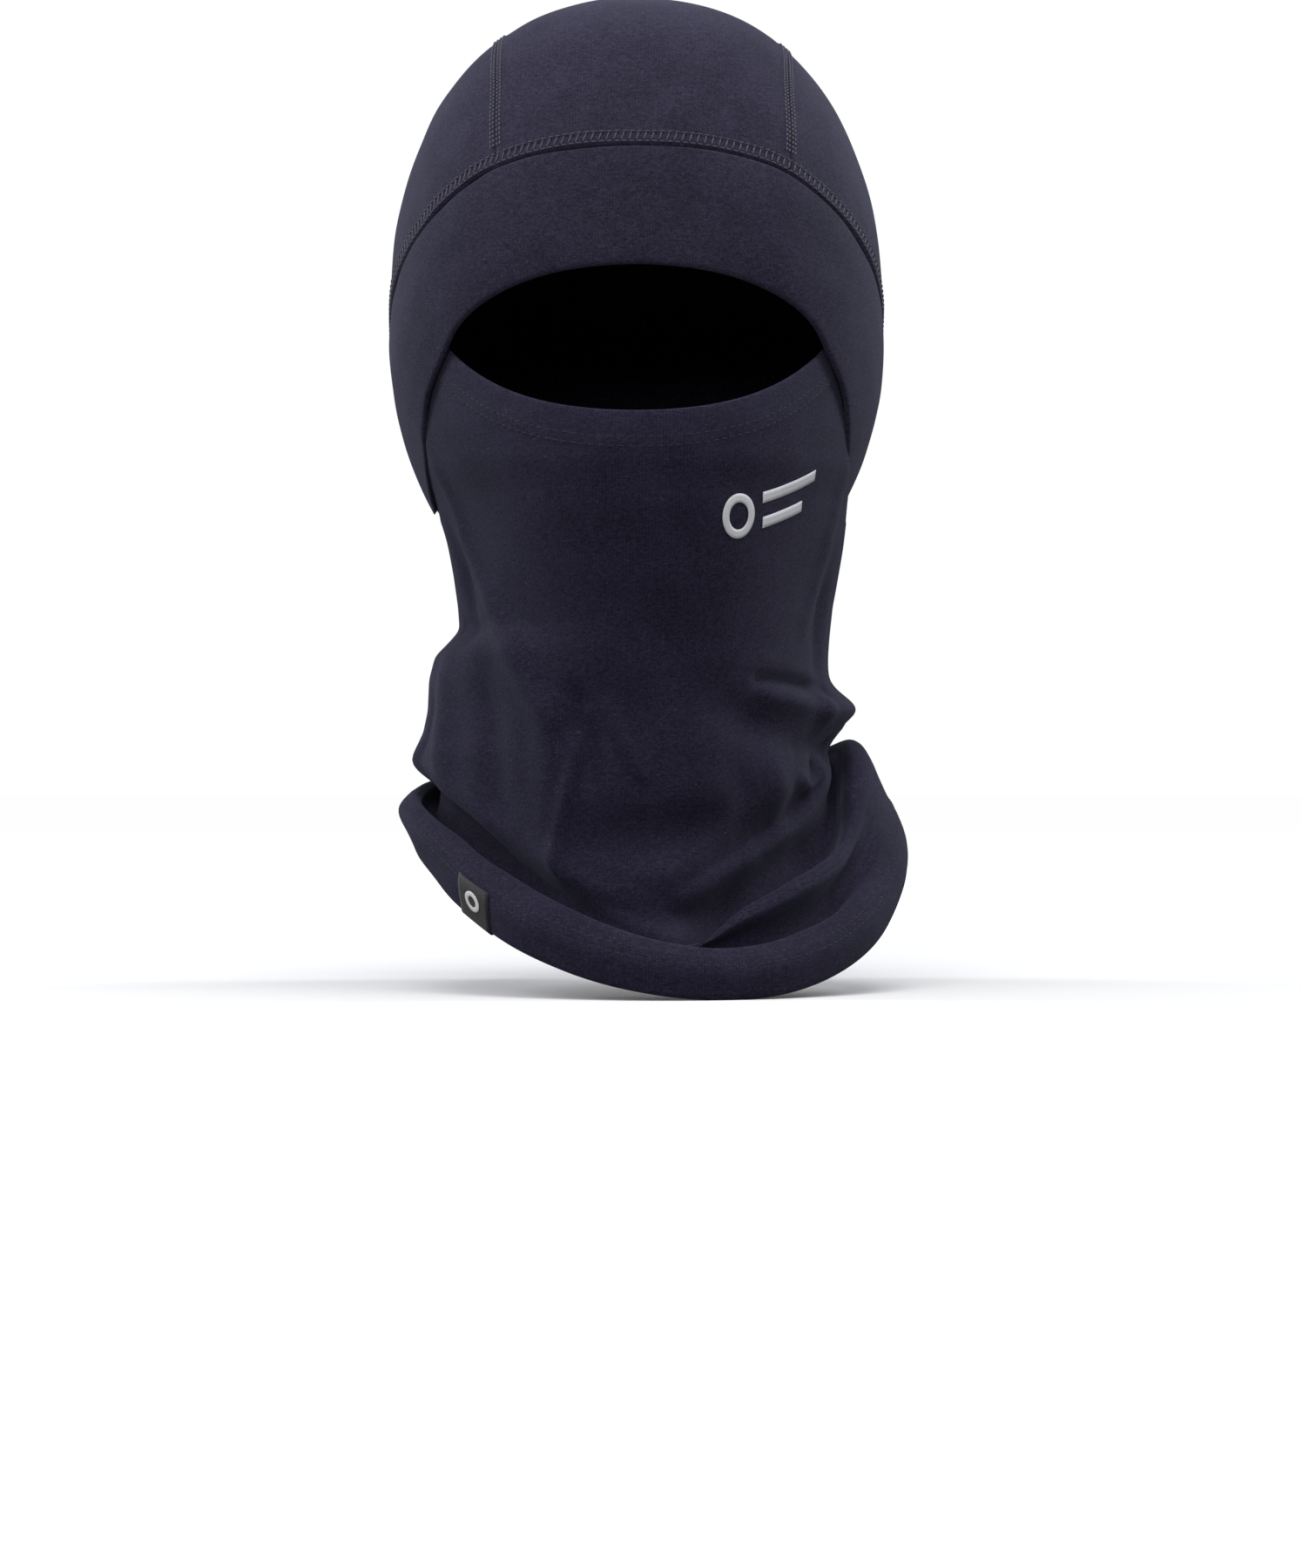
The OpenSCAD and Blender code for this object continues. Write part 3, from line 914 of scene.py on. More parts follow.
SEAM_HALF = [
    (0, -92, -60), (26, -88, -62), (49, -79, -67), (66, -65, -78), (78, -46, -91),
    (84, -23, -106), (86, -2, -121), (86, 13, -143), (85, 24, -176),
]
EDGE_HALF = [
    (0, -100, -99), (27, -96, -101.5), (47, -87, -108), (60, -77, -117), (67, -68, -129),
    (73.5, -58, -140), (78, -49, -152), (82, -37, -165), (84, -12, -177),
]
CROWN_HALF = [
    (49, -79, -67), (49.5, -58, -36), (49.5, -28, -19), (49, 5, -15), (48.5, 42, -22),
    (47.5, 72, -45), (46.5, 90, -80), (45.5, 95, -118), (44.5, 96, -158), (43.5, 96, -196),
]
LOWER_HALF = [
    (0, 107, -200), (22, 104, -199), (43.5, 96, -196), (62, 78, -191), (77, 52, -185), (85, 24, -176),
]


@dataclass
class Hood:
    """Three crown panels and a folded brow band, with the stitching of their seams."""

    head: Head
    shift: float = 2.5
    station: float = 0.25
    station_per_mm: float = 0.006
    side_corner: float = 1 / 3
    lower_station: float = 0.4
    groove: float = 0.8
    groove_width: float = 0.6
    tape_height: float = 0.3
    tape_width: float = 3.6
    band_fold: float = 2.6
    band_width: float = 39.0
    thread_lift: float = 0.10

    def band_point(self, s: Array, t: Array) -> Array:
        """A point of the brow band: s from -1 to 1 along it, t from 0 at its seam to 1 at its fold.

        Args:
            s: Places from the right end, -1, to the left end, 1.
            t: Shares across the band.

        Returns:
            One point per place.
        """
        along = (np.asarray(s) + 1) / 2
        low, high = curve(both_sides(SEAM_HALF), along), curve(both_sides(EDGE_HALF), along)
        return low + (high - low) * np.asarray(t)[..., None]

    def lower_point(self, s: Array) -> Array:
        """A point of the hood's lower edge, s from -1 at the right jaw through the nape to 1 at the left."""
        return curve(both_sides(LOWER_HALF), (np.asarray(s) + 1) / 2)

    def corner(self, side: int) -> float:
        """Where along the band a crown seam meets it."""
        return side * self.station + self.shift * self.station_per_mm

    def crown_seam(self, side: int, t: Array, gap: Array | float = 0.0) -> Array:
        """A point of the seam between the crown's centre and side panels, its start drawn onto the band.

        Args:
            side: The sign of X.
            t: Shares from the band to the nape.
            gap: How far the line is moved outwards.

        Returns:
            One point per share.
        """
        p = curve(CROWN_HALF, t)
        shift = self.shift * smooth((150 + p[..., 2]) / 60)
        start = np.array(CROWN_HALF[0], float) * [side, 1, 1] + [self.shift, 0, 0]
        pull = self.band_point(np.array(self.corner(side)), np.array(0.0)) - start
        moved = np.stack([side * (p[..., 0] + gap) + shift, p[..., 1], p[..., 2]], -1)
        return moved + pull * ((1 - np.asarray(t)) ** 4)[..., None]

    @staticmethod
    def spaced(count: int, length: float) -> Array:
        """Shares from 0 to 1, close together within a few millimetres of both ends.

        Args:
            count: Even places between the two ends.
            length: The whole length in millimetres.

        Returns:
            The shares.
        """
        near = np.array([0, 0.4, 0.8, 1.2, 1.7, 2.3, 3.0, 3.8, 4.8, 6.0]) / length
        middle = np.linspace(near[-1], 1 - near[-1], count)
        return np.concatenate([near[:-1], middle, 1 - near[-2::-1]])

    @staticmethod
    def patch(low: Array, high: Array, start: Array, end: Array, u: Array, v: Array) -> Array:
        """A surface between four edges: both straight mixes of opposite edges, less the mix of the corners.

        Args:
            low: The first row.
            high: The last row.
            start: The first column.
            end: The last column.
            u: Shares across.
            v: Shares along.

        Returns:
            Points, [row, column, xyz].
        """
        u, v = u[None, :, None], v[:, None, None]
        across = low[None] * (1 - v) + high[None] * v
        along = start[:, None] * (1 - u) + end[:, None] * u
        corners = (low[0] * (1 - u) + low[-1] * u) * (1 - v) + (high[0] * (1 - u) + high[-1] * u) * v
        return across + along - corners

    @staticmethod
    def uneven(p: Array) -> Array:
        """The crown fabric's unevenness in millimetres: a long ripple and a short one."""
        return 0.45 * ripple(p, 95, 0.7) + 0.22 * ripple(p, 38, 2.1)

    def relief(self, p: Array, edge: Array) -> Array:
        """How far the fabric stands off the head: unevenness, a raised flat seam, and a groove on its line.

        Args:
            p: Points of the panel.
            edge: Distance of each point from the nearest seam in millimetres.

        Returns:
            The lift in millimetres.
        """
        tape = self.tape_height * smooth((self.tape_width - edge) / 0.8)
        pucker = 0.10 * np.sin(p[..., 2] * 1.15) * np.sin(p[..., 1] * 0.9) * np.exp(-((edge / 6) ** 2))
        groove = self.groove * np.exp(-((edge / self.groove_width) ** 2))
        return self.head.fabric + self.uneven(p) + tape + pucker - groove

    def panel(self, name: str, grid: Array, u: Array, v: Array, rows_down: bool) -> bpy.types.Object:
        """A crown panel, laid on the head with its four seamed edges pressed down.

        Args:
            name: The piece's name.
            grid: Flat patch points, [row, column, xyz].
            u: Shares across the panel.
            v: Shares along the panel.
            rows_down: Whether the rows already run down the head.

        Returns:
            The panel.
        """
        rough = self.head.project(grid)
        wide = np.linalg.norm(np.diff(rough, axis=1), axis=-1).sum(axis=1)[:, None]
        long = np.linalg.norm(np.diff(rough, axis=0), axis=-1).sum(axis=0)[None, :]
        edge = np.minimum(np.minimum(u, 1 - u)[None, :] * wide, np.minimum(v, 1 - v)[:, None] * long)
        lift = self.relief(rough, edge)
        outer, inner = self.head.project(grid, lift), self.head.project(grid, lift - self.head.fabric)
        if not rows_down:
            outer, inner = outer[::-1], inner[::-1]
        return closed_sheet(name, outer, inner)

    def centre_panel(self, name: str) -> bpy.types.Object:
        """The panel that runs from the brow over the top to the nape.

        Args:
            name: The piece's name.

        Returns:
            The panel.
        """
        u, v = self.spaced(44, 98), self.spaced(150, 390)
        low = self.band_point(self.corner(-1) + (self.corner(1) - self.corner(-1)) * u, np.zeros_like(u))
        high = self.lower_point((2 * u - 1) * self.lower_station)
        grid = self.patch(low, high, self.crown_seam(-1, v), self.crown_seam(1, v), u, v)
        return self.panel(name, grid, u, v, False)

    def side_panel(self, name: str, side: int) -> bpy.types.Object:
        """The panel over one ear: crown seam above, band in front, nape below.

        Args:
            name: The piece's name.
            side: The sign of X.

        Returns:
            The panel.
        """
        u, v = self.spaced(66, 150), self.spaced(76, 170)
        low = self.crown_seam(side, self.side_corner * (1 - u))
        high = self.lower_point(side * (self.lower_station + (1 - self.lower_station) * u))
        start = self.crown_seam(side, self.side_corner + (1 - self.side_corner) * v)
        end = self.band_point(self.corner(side) + (side - self.corner(side)) * v, np.zeros_like(v))
        return self.panel(name, self.patch(low, high, start, end, u, v), u, v, side < 0)

    def brow_band(self, name: str) -> bpy.types.Object:
        """The band, folded double: its outer ply, the round fold and its inner ply make one section.

        Args:
            name: The piece's name.

        Returns:
            The band.
        """
        s = np.linspace(-1, 1, 241)
        flat = self.spaced(22, 40)
        fold = np.radians(np.linspace(20, 160, 8))
        middle, half = self.head.fabric - self.band_fold / 2, self.band_fold / 2
        t = np.concatenate([flat, 1 + np.sin(fold) * half / 38, flat[::-1]])
        lift = np.concatenate([np.full(len(flat), middle + half), middle + half * np.cos(fold),
                               np.full(len(flat), middle - half)])
        p = self.band_point(s[None, :], t[:, None])
        uneven = 0.35 * ripple(p, 70, 1.3) + 0.2 * ripple(p, 30, 0.4)
        swell = 0.7 * np.sin(np.pi * np.clip(t, 0, 1)) ** 0.7
        dip = self.groove * np.exp(-((t * self.band_width / self.groove_width) ** 2))
        outside = (np.arange(len(t)) < len(flat) + len(fold) // 2).astype(float)
        lifted = lift[:, None] + uneven + (outside * (swell - dip))[:, None]
        return closed_loop(name, self.head.project(p, lifted), False)

    def on_seam(self, place: FlatPlace) -> SeamPath:
        """A path on the hood for a CoverStitch.

        Args:
            place: Gives flat points, from shares along the seam and offsets across it.

        Returns:
            The path.
        """

        def path(t: Array, offset: Array) -> tuple[Array, Array]:
            """Points on the fabric and its normals."""
            p = place(t, offset)
            height = self.head.fabric + self.tape_height + self.uneven(self.head.project(p)) + self.thread_lift
            low = self.head.project(p, height)
            return low, unit(self.head.project(p, height + 1) - low)

        return path

    def crown_stitching(self, name: str, side: int) -> bpy.types.Object:
        """Four rows over a crown seam."""
        path = self.on_seam(lambda t, o: self.crown_seam(side, 0.022 + 0.965 * t, side * o))
        return CROWN_STITCH.sew(name, path)

    def band_stitching(self, name: str) -> bpy.types.Object:
        """Two rows and their ladder just above the band's seam."""
        path = self.on_seam(lambda t, o: self.band_point(2 * t - 1, -(2.9 + o) / self.band_width))
        return BAND_STITCH.sew(name, path)

    def nape_stitching(self, name: str) -> bpy.types.Object:
        """Two rows just above the hood's lower edge."""

        def place(t: Array, offset: Array) -> Array:
            """Flat points a little above the edge, from the left jaw to the right."""
            return self.lower_point(0.985 * (1 - 2 * t)) + np.stack([0 * t, 0 * t, 3.4 + offset], -1)

        return NAPE_STITCH.sew(name, self.on_seam(place))

    def make_cloth(self, wardrobe: Wardrobe) -> None:
        """Builds and dresses the three crown panels and the band."""
        wardrobe.dress(self.centre_panel("centre_panel"), JERSEY, Slot.JERSEY, "crown_centre_panel")
        for side in Side:
            word = side.name.lower()
            panel = self.side_panel(f"{word}_panel", side.value)
            wardrobe.dress(panel, JERSEY, Slot.JERSEY, f"crown_{word}_panel")
        wardrobe.dress(self.brow_band("folded_band"), JERSEY, Slot.JERSEY, "brow_band")

    def make_stitching(self, wardrobe: Wardrobe) -> None:
        """Builds and dresses the stitching of the hood's seams."""
        for side in Side:
            word = side.name.lower()
            seam = self.crown_stitching(f"{word}_crown_seam", side.value)
            wardrobe.dress(seam, THREAD, Slot.THREAD, f"crown_{word}_stitching")
        wardrobe.dress(self.band_stitching("band_seam"), THREAD, Slot.THREAD, "band_stitching")
        wardrobe.dress(self.nape_stitching("nape_seam"), THREAD, Slot.THREAD, "nape_stitching")


# ---------- Mask, neck and collar ----------


@dataclass(frozen=True)
class Fold:
    """A soft ridge, or with a negative height a valley, from one place on the neck to another."""

    start: tuple[float, float]
    end: tuple[float, float]
    width: float
    height: float


FOLDS = [
    Fold((-37, -212), (-27, -229), 6, 3.6), Fold((-27, -229), (-18, -250), 5.5, 4.0),
    Fold((-18, -250), (-17, -301), 6, 3.8), Fold((-10, -249), (-17, -303), 2.4, 3.4),
    Fold((-5, -246), (1, -270), 2.4, 3.2), Fold((-12, -243), (-9, -272), 3.6, -3.2),
    Fold((-36, -236), (-30, -292), 8, -3.4), Fold((-60, -236), (-52, -285), 9, 2.8),
    Fold((-76, -246), (-70, -284), 5, -2.0), Fold((-64, -219), (-42, -222), 3.6, -2.2),
    Fold((-9, -291), (22, -287), 9, -6.2), Fold((-16, -305), (12, -305), 8, 2.6),
    Fold((8, -310), (32, -290), 7.5, -6.5), Fold((32, -290), (58, -273), 7, -6),
    Fold((16, -246), (36, -258), 9, -3.6), Fold((32, -243), (58, -247), 5, 3.5),
    Fold((58, -247), (102, -246), 6.5, 8.5), Fold((28, -237.5), (62, -240.5), 2.5, -3.8),
    Fold((44, -260), (112, -261), 5, -4.0), Fold((45, -271), (54, -274), 2.4, 2.6),
    Fold((54, -274), (64, -267), 2.4, 2.8), Fold((54, -266), (57, -267), 2.6, -3.0),
    Fold((33, -262), (38, -282), 7, 2.4), Fold((22, -268), (26, -282), 6, -1.4),
    Fold((-56, -158), (-49, -190), 5, 1.5), Fold((-49, -190), (-37, -212), 5, 2.2),
    Fold((-64, -186), (-50, -218), 7, -3.2), Fold((60, -165), (55, -192), 5, 1.2),
    Fold((55, -192), (48, -220), 5, 1.6), Fold((68, -196), (60, -230), 7, -2.8),
    Fold((-104, -257), (-128, -258), 4.5, 4.0), Fold((118, -214), (162, -226), 7, 3.0),
    Fold((125, -232), (178, -246), 8, 4.2), Fold((-118, -216), (-165, -228), 7, 3.2),
    Fold((-130, -240), (-172, -252), 8, 4.0), Fold((112, -236), (150, -262), 6, -3.0),
    Fold((-112, -246), (-150, -236), 6, -2.6), Fold((-170, -216), (165, -214), 6, 2.4),
    Fold((12, -171), (24, -178), 9, -0.8), Fold((-20, -176), (-34, -186), 10, -0.8),
    Fold((-8, -214), (10, -222), 10, -1.4), Fold((-74, -269), (-108, -272), 5.5, 5.5),
]


@dataclass
class NeckTube:
    """One knitted tube: the mask above, the neck, and a collar that folds over itself to the hem."""

    head: Head
    columns: int = 264
    crowding: float = 0.45
    upper_rows: int = 108
    lower_rows: int = 74
    power: float = 1.9
    mask_top: float = -112.0
    mask_dip: float = 39.0
    wing: float = 66.0
    travel: float = 70.0
    hem_back: float = 281.0
    hem_fall: float = 62.0
    hem_turn: float = 12.0
    hem_power: float = 2.6
    lean: float = 7.5
    clearance: float = 1.2
    mask_hem: float = 12.0
    collar_hem: float = 15.0
    mean_radius: float = 84.0
    hem_side: float = 88.5
    hem_front: float = 116.0
    hem_rear: float = 92.0
    hem_relief: float = 0.35
    hem_ply: float = 0.8
    guard_low: float = -215.0
    guard_high: float = -112.0
    guard_depth: float = 1.6
    stations: tuple = (
        -112, -132, -152, -165, -175, -181, -190, -200, -211,
        -219, -223, -228, -236, -247, -256, -262, -275, -345,
    )
    right_half: tuple = (
        82, 81.5, 79.5, 76, 70.5, 68.5, 66, 64, 62.5, 62, 65.5, 70.5, 72.5, 73, 75, 77, 76.5, 76,
    )
    left_half: tuple = (
        82, 81.5, 79.5, 77.5, 74.5, 73.5, 72, 70, 68, 67.4, 67.2, 67.1, 67.3, 69, 69.3, 69.5, 69.5, 70,
    )
    front: tuple = (
        104, 113, 119.5, 121, 118.5, 117, 113.5, 110.5, 107, 104.5, 103.3, 102, 100.5, 98.7, 98, 98, 98, 98,
    )
    back: tuple = (80, 80, 78, 75.5, 74, 73, 71.5, 70, 67.5, 66.5, 66, 66, 66, 68, 70, 71, 74, 76)
    cover_angles: tuple = (0, 15.7, 28.4, 38, 44.6, 51.7, 57.9, 65.7, 81.9, 105.8, 124, 141.5, 155.6, 180)
    cover_edge: tuple = (
        -99, -101.5, -108, -117, -129, -140, -152, -165, -177, -176, -185, -191, -196, -200,
    )
    rear_angles: tuple = (0, 84, 105, 125, 143, 157, 180)
    rear_edge: tuple = (-167, -167, -170, -179, -185, -190, -194)

    def __post_init__(self) -> None:
        """Lays out the outer surface of the cloth."""
        even = -180 + 360 * np.arange(self.columns) / self.columns
        self.angle = even - self.crowding * np.degrees(np.sin(np.radians(even)))
        self.cloth = Cloth(self.outer_grid(), True)

    def column(self, angle: Array | float) -> Array:
        """The column place of an angle from the front, in degrees."""
        places = np.append(self.angle, 180.0)
        turn = np.asarray(angle, float)
        within = np.interp((turn + 180) % 360 - 180, places, np.arange(self.columns + 1))
        return within + self.columns * (turn >= 180)

    def hem_z(self, angle: Array) -> Array:
        """Height of the collar's hem: a power of the raised cosine round its lowest point."""
        share = (1 + np.cos(np.radians(angle - self.hem_turn))) / 2
        return -(self.hem_back + self.hem_fall * share**self.hem_power)

    def top_z(self, angle: Array) -> Array:
        """Height of the upper edge: under the eyes in front, and inside the hood at the sides and back.

        Args:
            angle: Degrees from the front.

        Returns:
            One height per angle.
        """
        away = np.abs(angle)
        quarter = np.radians(90 * np.minimum(away, self.wing) / self.wing)
        front = self.mask_top - self.mask_dip * np.cos(quarter) ** 1.4
        rear = np.interp(away, self.rear_angles, self.rear_edge)
        return front + (rear - front) * smooth((away - self.wing) / 18)

    def cover(self, angle: Array) -> Array:
        """Height of the hood's edge at an angle: the hood covers what is above it."""
        return np.interp(np.abs(angle), self.cover_angles, self.cover_edge)

    def radius(self, angle: Array, z: Array) -> Array:
        """Polar radius of the mask and the neck: a superellipse whose half axes follow the stations.

        Inside the hood it is held a little smaller than the hood, at every height that the mask passes.

        Args:
            angle: Degrees from the front.
            z: Heights.

        Returns:
            One radius per place.
        """

        def half_axis(values: tuple, width: float) -> Array:
            """A half axis at every height, read between the stations."""
            return rounded_steps(z, self.stations[::-1], values[::-1], width)

        side = np.where(angle > 0, half_axis(self.left_half, 6), half_axis(self.right_half, 6))
        depth = np.where(np.abs(angle) < 90, half_axis(self.front, 12), half_axis(self.back, 12))
        free = superellipse(angle, side, depth, self.power) + self.folds(angle, z)
        edge = self.cover(angle)
        share = smooth((90 - np.abs(angle)) / 30)
        lowest = np.maximum(np.maximum(z - self.travel * share, edge), self.guard_low)
        passed = np.minimum(lowest, self.guard_high)
        limit = self.head.inside_radius(angle, passed, -self.guard_depth) - self.clearance
        hidden = smooth((z - edge + 5) / 7)
        return free - hidden * np.maximum(free - limit, 0)

    def folds(self, angle: Array, z: Array) -> Array:
        """Sum of the soft ridges: each a bell curve across its line, fading out at both ends.

        Args:
            angle: Degrees from the front.
            z: Heights.

        Returns:
            How far the neck stands out at each place.
        """
        wide = 0.35 * np.sin(np.radians(5 * angle) + z / 17)
        total = (wide + 0.3 * np.sin(np.radians(9 * angle) - z / 11 + 1)) * smooth((-150 - z) / 30)
        per_degree = math.pi / 180 * self.mean_radius
        for fold in FOLDS:
            span = (fold.end[0] - fold.start[0] + 180) % 360 - 180
            line = np.array([span * per_degree, fold.end[1] - fold.start[1]])
            dx = ((angle - fold.start[0] + 180) % 360 - 180) * per_degree
            dz = z - fold.start[1]
            t = np.clip((dx * line[0] + dz * line[1]) / (line @ line), 0, 1)
            away = np.hypot(dx - t * line[0], dz - t * line[1])
            taper = 0.55 + 0.45 * np.sin(np.pi * t)
            total = total + fold.height * taper * np.exp(-((away / fold.width) ** 2))
        return total

    def collar_profile(self, angle: Array, row: Array) -> Array:
        """Radius, height and share of the lean of the collar's folds, from the neck down to the hem.

        There are three profiles, each a curve through as many points: one lip that the neck rests on; a
        second ridge above the lip, with a deep trough behind it; and one tall fold. The first runs round
        the wearer's right and the back, the second takes over past the chin, and the third at the left.

        Args:
            angle: Angles from the front in degrees, [column].
            row: Shares from the neck to the hem, [row].

        Returns:
            The three values, [row, column, 3].
        """
        hem_depth = np.where(np.abs(angle) < 90, self.hem_front, self.hem_rear)
        hem_r = superellipse(angle, self.hem_side, hem_depth, self.power)
        hem_z = self.hem_z(angle)

        def graph(places: tuple, values: tuple, width: float = 16) -> Array:
            """A smoothed graph over the angle."""
            return rounded_steps(angle, places, values, width, 360)

        lip = graph((-180, -135, -90, -70, -60, -50, -30, -18, 0, 10, 20, 30, 45, 70, 135, 180),
                    (12, 12, 10, 13.5, 16, 18.5, 20.5, 20, 16.8, 16, 16.6, 18, 17.5, 15, 13, 12), 12)
        ridge = graph((-180, -20, 0, 10, 20, 30, 40, 52, 62, 72, 90, 100, 112, 135, 160, 180),
                      (12, 20, 18.5, 24, 30.8, 34.8, 35, 33, 33, 35, 37, 35, 30, 20, 13, 12), 12)
        behind = graph((-180, -98, -82, -65, -45, -25, -8, 5, 20, 90, 180),
                       (5, 4, 8, 12, 13, 9, 4, 2.5, 2, 5, 5))
        out = graph((-180, -125, -95, -72, -48, -28, 60, 110, 180), (1, 2, 4.5, 4.5, 1.5, 0, 0, 0, 1), 20)
        second = graph((-180, -6, 2, 14, 60, 130, 150, 180), (0, 0, 0.15, 1, 1, 1, 0, 0), 12)
        tall = graph((-180, 46, 70, 128, 152, 180), (0, 0, 1, 1, 0, 0), 12)
        lip_z, ridge_z, size = hem_z + lip, hem_z + ridge, ridge / 37

        def neck(z: Array) -> Array:
            """The neck's radius at a height, held clear of the collar."""
            return np.minimum(self.radius(angle, z), hem_r - 9)

        rest, apart = hem_r - 11 + out, np.maximum(ridge - lip, 2)
        plain = [
            (neck(lip_z + 22), lip_z + 22, 0), (neck(lip_z + 14), lip_z + 14, 0),
            ((neck(lip_z + 7.5) + rest - behind) / 2, lip_z + 7.5, 0.5), (rest - behind, lip_z + 2, 1),
            (rest - behind, lip_z - 3, 1), (rest - 0.85 * behind, lip_z - 6.5, 1),
            (rest - 0.5 * behind, lip_z - 8.4, 1), (rest - 0.12 * behind, lip_z - 6.8, 1),
            (rest + 0.1, lip_z - 4.5, 1), (rest + 0.4, lip_z - 2.2, 1), (rest + 1, lip_z - 0.7, 1),
            (rest + 3.2, lip_z + 0.3, 1), (rest + 7.2, lip_z - 2.6, 1),
            (hem_r - 0.8 + out / 2, hem_z + 0.5 * lip, 1), (hem_r - 1.8, hem_z, 1),
        ]
        double = [
            (neck(ridge_z + 14), ridge_z + 14, 0), (neck(ridge_z + 8), ridge_z + 8, 0),
            (hem_r - 33.5, ridge_z + 2, 1), (hem_r - 31.5, ridge_z - 6, 1), (hem_r - 27, ridge_z - 11, 1),
            (hem_r - 20, ridge_z - 7, 1), (hem_r - 16.8, ridge_z - 2, 1), (hem_r - 14, ridge_z + 0.2, 1),
            (hem_r - 11, ridge_z - 0.3 * apart, 1), (hem_r - 17.2, lip_z + 0.3 * apart, 1),
            (hem_r - 16, lip_z - 4.5, 1),
            (rest + 3, lip_z, 1), (rest + 7.2, lip_z - 2.6, 1),
            (hem_r - 0.8, hem_z + 0.5 * lip, 1), (hem_r - 1.8, hem_z, 1),
        ]
        shape = (
            (30, 1), (30, 0.84), (27.6, 0.76), (25.4, 0.84), (23.6, 0.955), (20.4, 1.005), (16.4, 0.96),
            (13.2, 0.83), (10.6, 0.67), (8.0, 0.52), (4.8, 0.36), (1.6, 0.17), (1.8, 0),
        )
        single = [(neck(ridge_z + 16), ridge_z + 16, 0), (neck(ridge_z + 8), ridge_z + 8, 0.1)]
        single += [(hem_r - inward * size, hem_z + ridge * rise, 1) for inward, rise in shape]
        mixed = []
        for a, b, c in zip(plain, double, single):
            first = [p + (q - p) * second for p, q in zip(a, b)]
            mixed.append(np.stack([p + (q - p) * tall for p, q in zip(first, c)], -1))
        return curve(np.stack(mixed), row)

    def outer_grid(self) -> Array:
        """Outer surface of the tube, [row, column, xyz], from the upper edge to the hem."""
        angle = self.angle[None, :]
        low = self.collar_profile(self.angle, np.linspace(0, 1, self.lower_rows))
        shares = np.linspace(0, 1, self.upper_rows, endpoint=False)[:, None]
        high_z = self.top_z(angle) + (low[0, :, 1] - self.top_z(angle)) * shares
        high = np.stack([self.radius(angle, high_z), high_z, 0 * high_z], -1)
        r, z, lean = np.moveaxis(np.concatenate([high, low]), -1, 0)
        wide = 0.3 * np.sin(np.radians(7 * angle) + 0.09 * z)
        r = r + (wide + 0.25 * np.sin(np.radians(13 * angle) - 0.14 * z)) * smooth((-270 - z) / 20)
        a = np.radians(angle)
        return np.stack([r * np.sin(a) + self.lean * lean, -r * np.cos(a), z], -1)

    def build(self, name: str) -> bpy.types.Object:
        """The whole tube: outer surface, round hems and inner surface make one closed loop.

        Args:
            name: The piece's name.

        Returns:
            The tube.
        """
        rows = len(self.cloth.grid)
        along = np.arange(rows)[:, None]
        top, low = self.cloth.rows_at(self.mask_hem, False), self.cloth.rows_at(self.collar_hem, True)
        in_front = smooth((self.wing - np.abs(self.angle)) / 8)
        turned = smooth(top + 0.5 - along) * in_front + smooth(along - low + 0.5)
        thick = (self.head.fabric * (1 + self.hem_ply * turned))[..., None]
        relief = (self.hem_relief * turned)[..., None]
        outer = self.cloth.grid + self.cloth.normal * relief
        inner = self.cloth.grid - self.cloth.normal * (thick - relief)
        middle = (outer + inner) / 2

        def rim(i: int, away: Array) -> Array:
            """A half round past one edge of the cloth, in the direction away from it."""
            half = (outer[i] - inner[i]) / 2
            reach = unit(away) * np.linalg.norm(half, axis=-1, keepdims=True)
            turn = np.radians([45, 90, 135])[:, None, None]
            return middle[i] + half * np.cos(turn) + reach * np.sin(turn)

        bottom = rim(-1, outer[-1] - outer[-2])
        upper = rim(0, outer[0] - outer[1])[::-1]
        return closed_loop(name, np.concatenate([outer, bottom, inner[::-1], upper]), True)

    def ring_path(self, rows: Array, reach: float, lift: float) -> SeamPath:
        """A path round the tube for a CoverStitch.

        Args:
            rows: The row place at each column.
            reach: How far the path runs to both sides of the front, in degrees.
            lift: Height above the cloth in millimetres.

        Returns:
            The path.
        """

        def path(t: Array, offset: Array) -> tuple[Array, Array]:
            """Points on the cloth and its normals."""
            column = self.column(-reach + 2 * reach * t * (1 - 1e-6))
            j = np.floor(column).astype(int)
            row = rows[j % self.columns] * (1 - (column - j)) + rows[(j + 1) % self.columns] * (column - j)
            step = np.linalg.norm(self.cloth.at(row + 1, column) - self.cloth.at(row, column), axis=-1)
            row = row + offset / np.maximum(step, 0.2)
            return self.cloth.above(row, column, lift)

        return path

    def mask_hem_stitching(self, name: str) -> bpy.types.Object:
        """Two rows along the mask's turned upper hem."""
        path = self.ring_path(self.cloth.rows_at(self.mask_hem - 2.2, False), self.wing - 12, 0.3)
        return MASK_HEM_STITCH.sew(name, path)

    def collar_hem_stitching(self, name: str) -> bpy.types.Object:
        """Two rows round the collar's turned hem."""
        path = self.ring_path(self.cloth.rows_at(self.collar_hem - 2.4, True), 180, 0.3)
        return COLLAR_HEM_STITCH.sew(name, path)

    def back_stitching(self, name: str) -> bpy.types.Object:
        """Three rows down the seam that closes the tube at the back.

        Args:
            name: The piece's name.

        Returns:
            The stitching.
        """
        start, end, back_radius = 10.0, len(self.cloth.grid) - 20.0, 70

        def path(t: Array, offset: Array) -> tuple[Array, Array]:
            """Points on the cloth and its normals."""
            row = start + (end - start) * t
            turned = offset / back_radius * 180 / math.pi
            column = self.columns + turned / 360 * self.columns / (1 + self.crowding)
            return self.cloth.above(row, column, 0.15)

        return BACK_STITCH.sew(name, path)

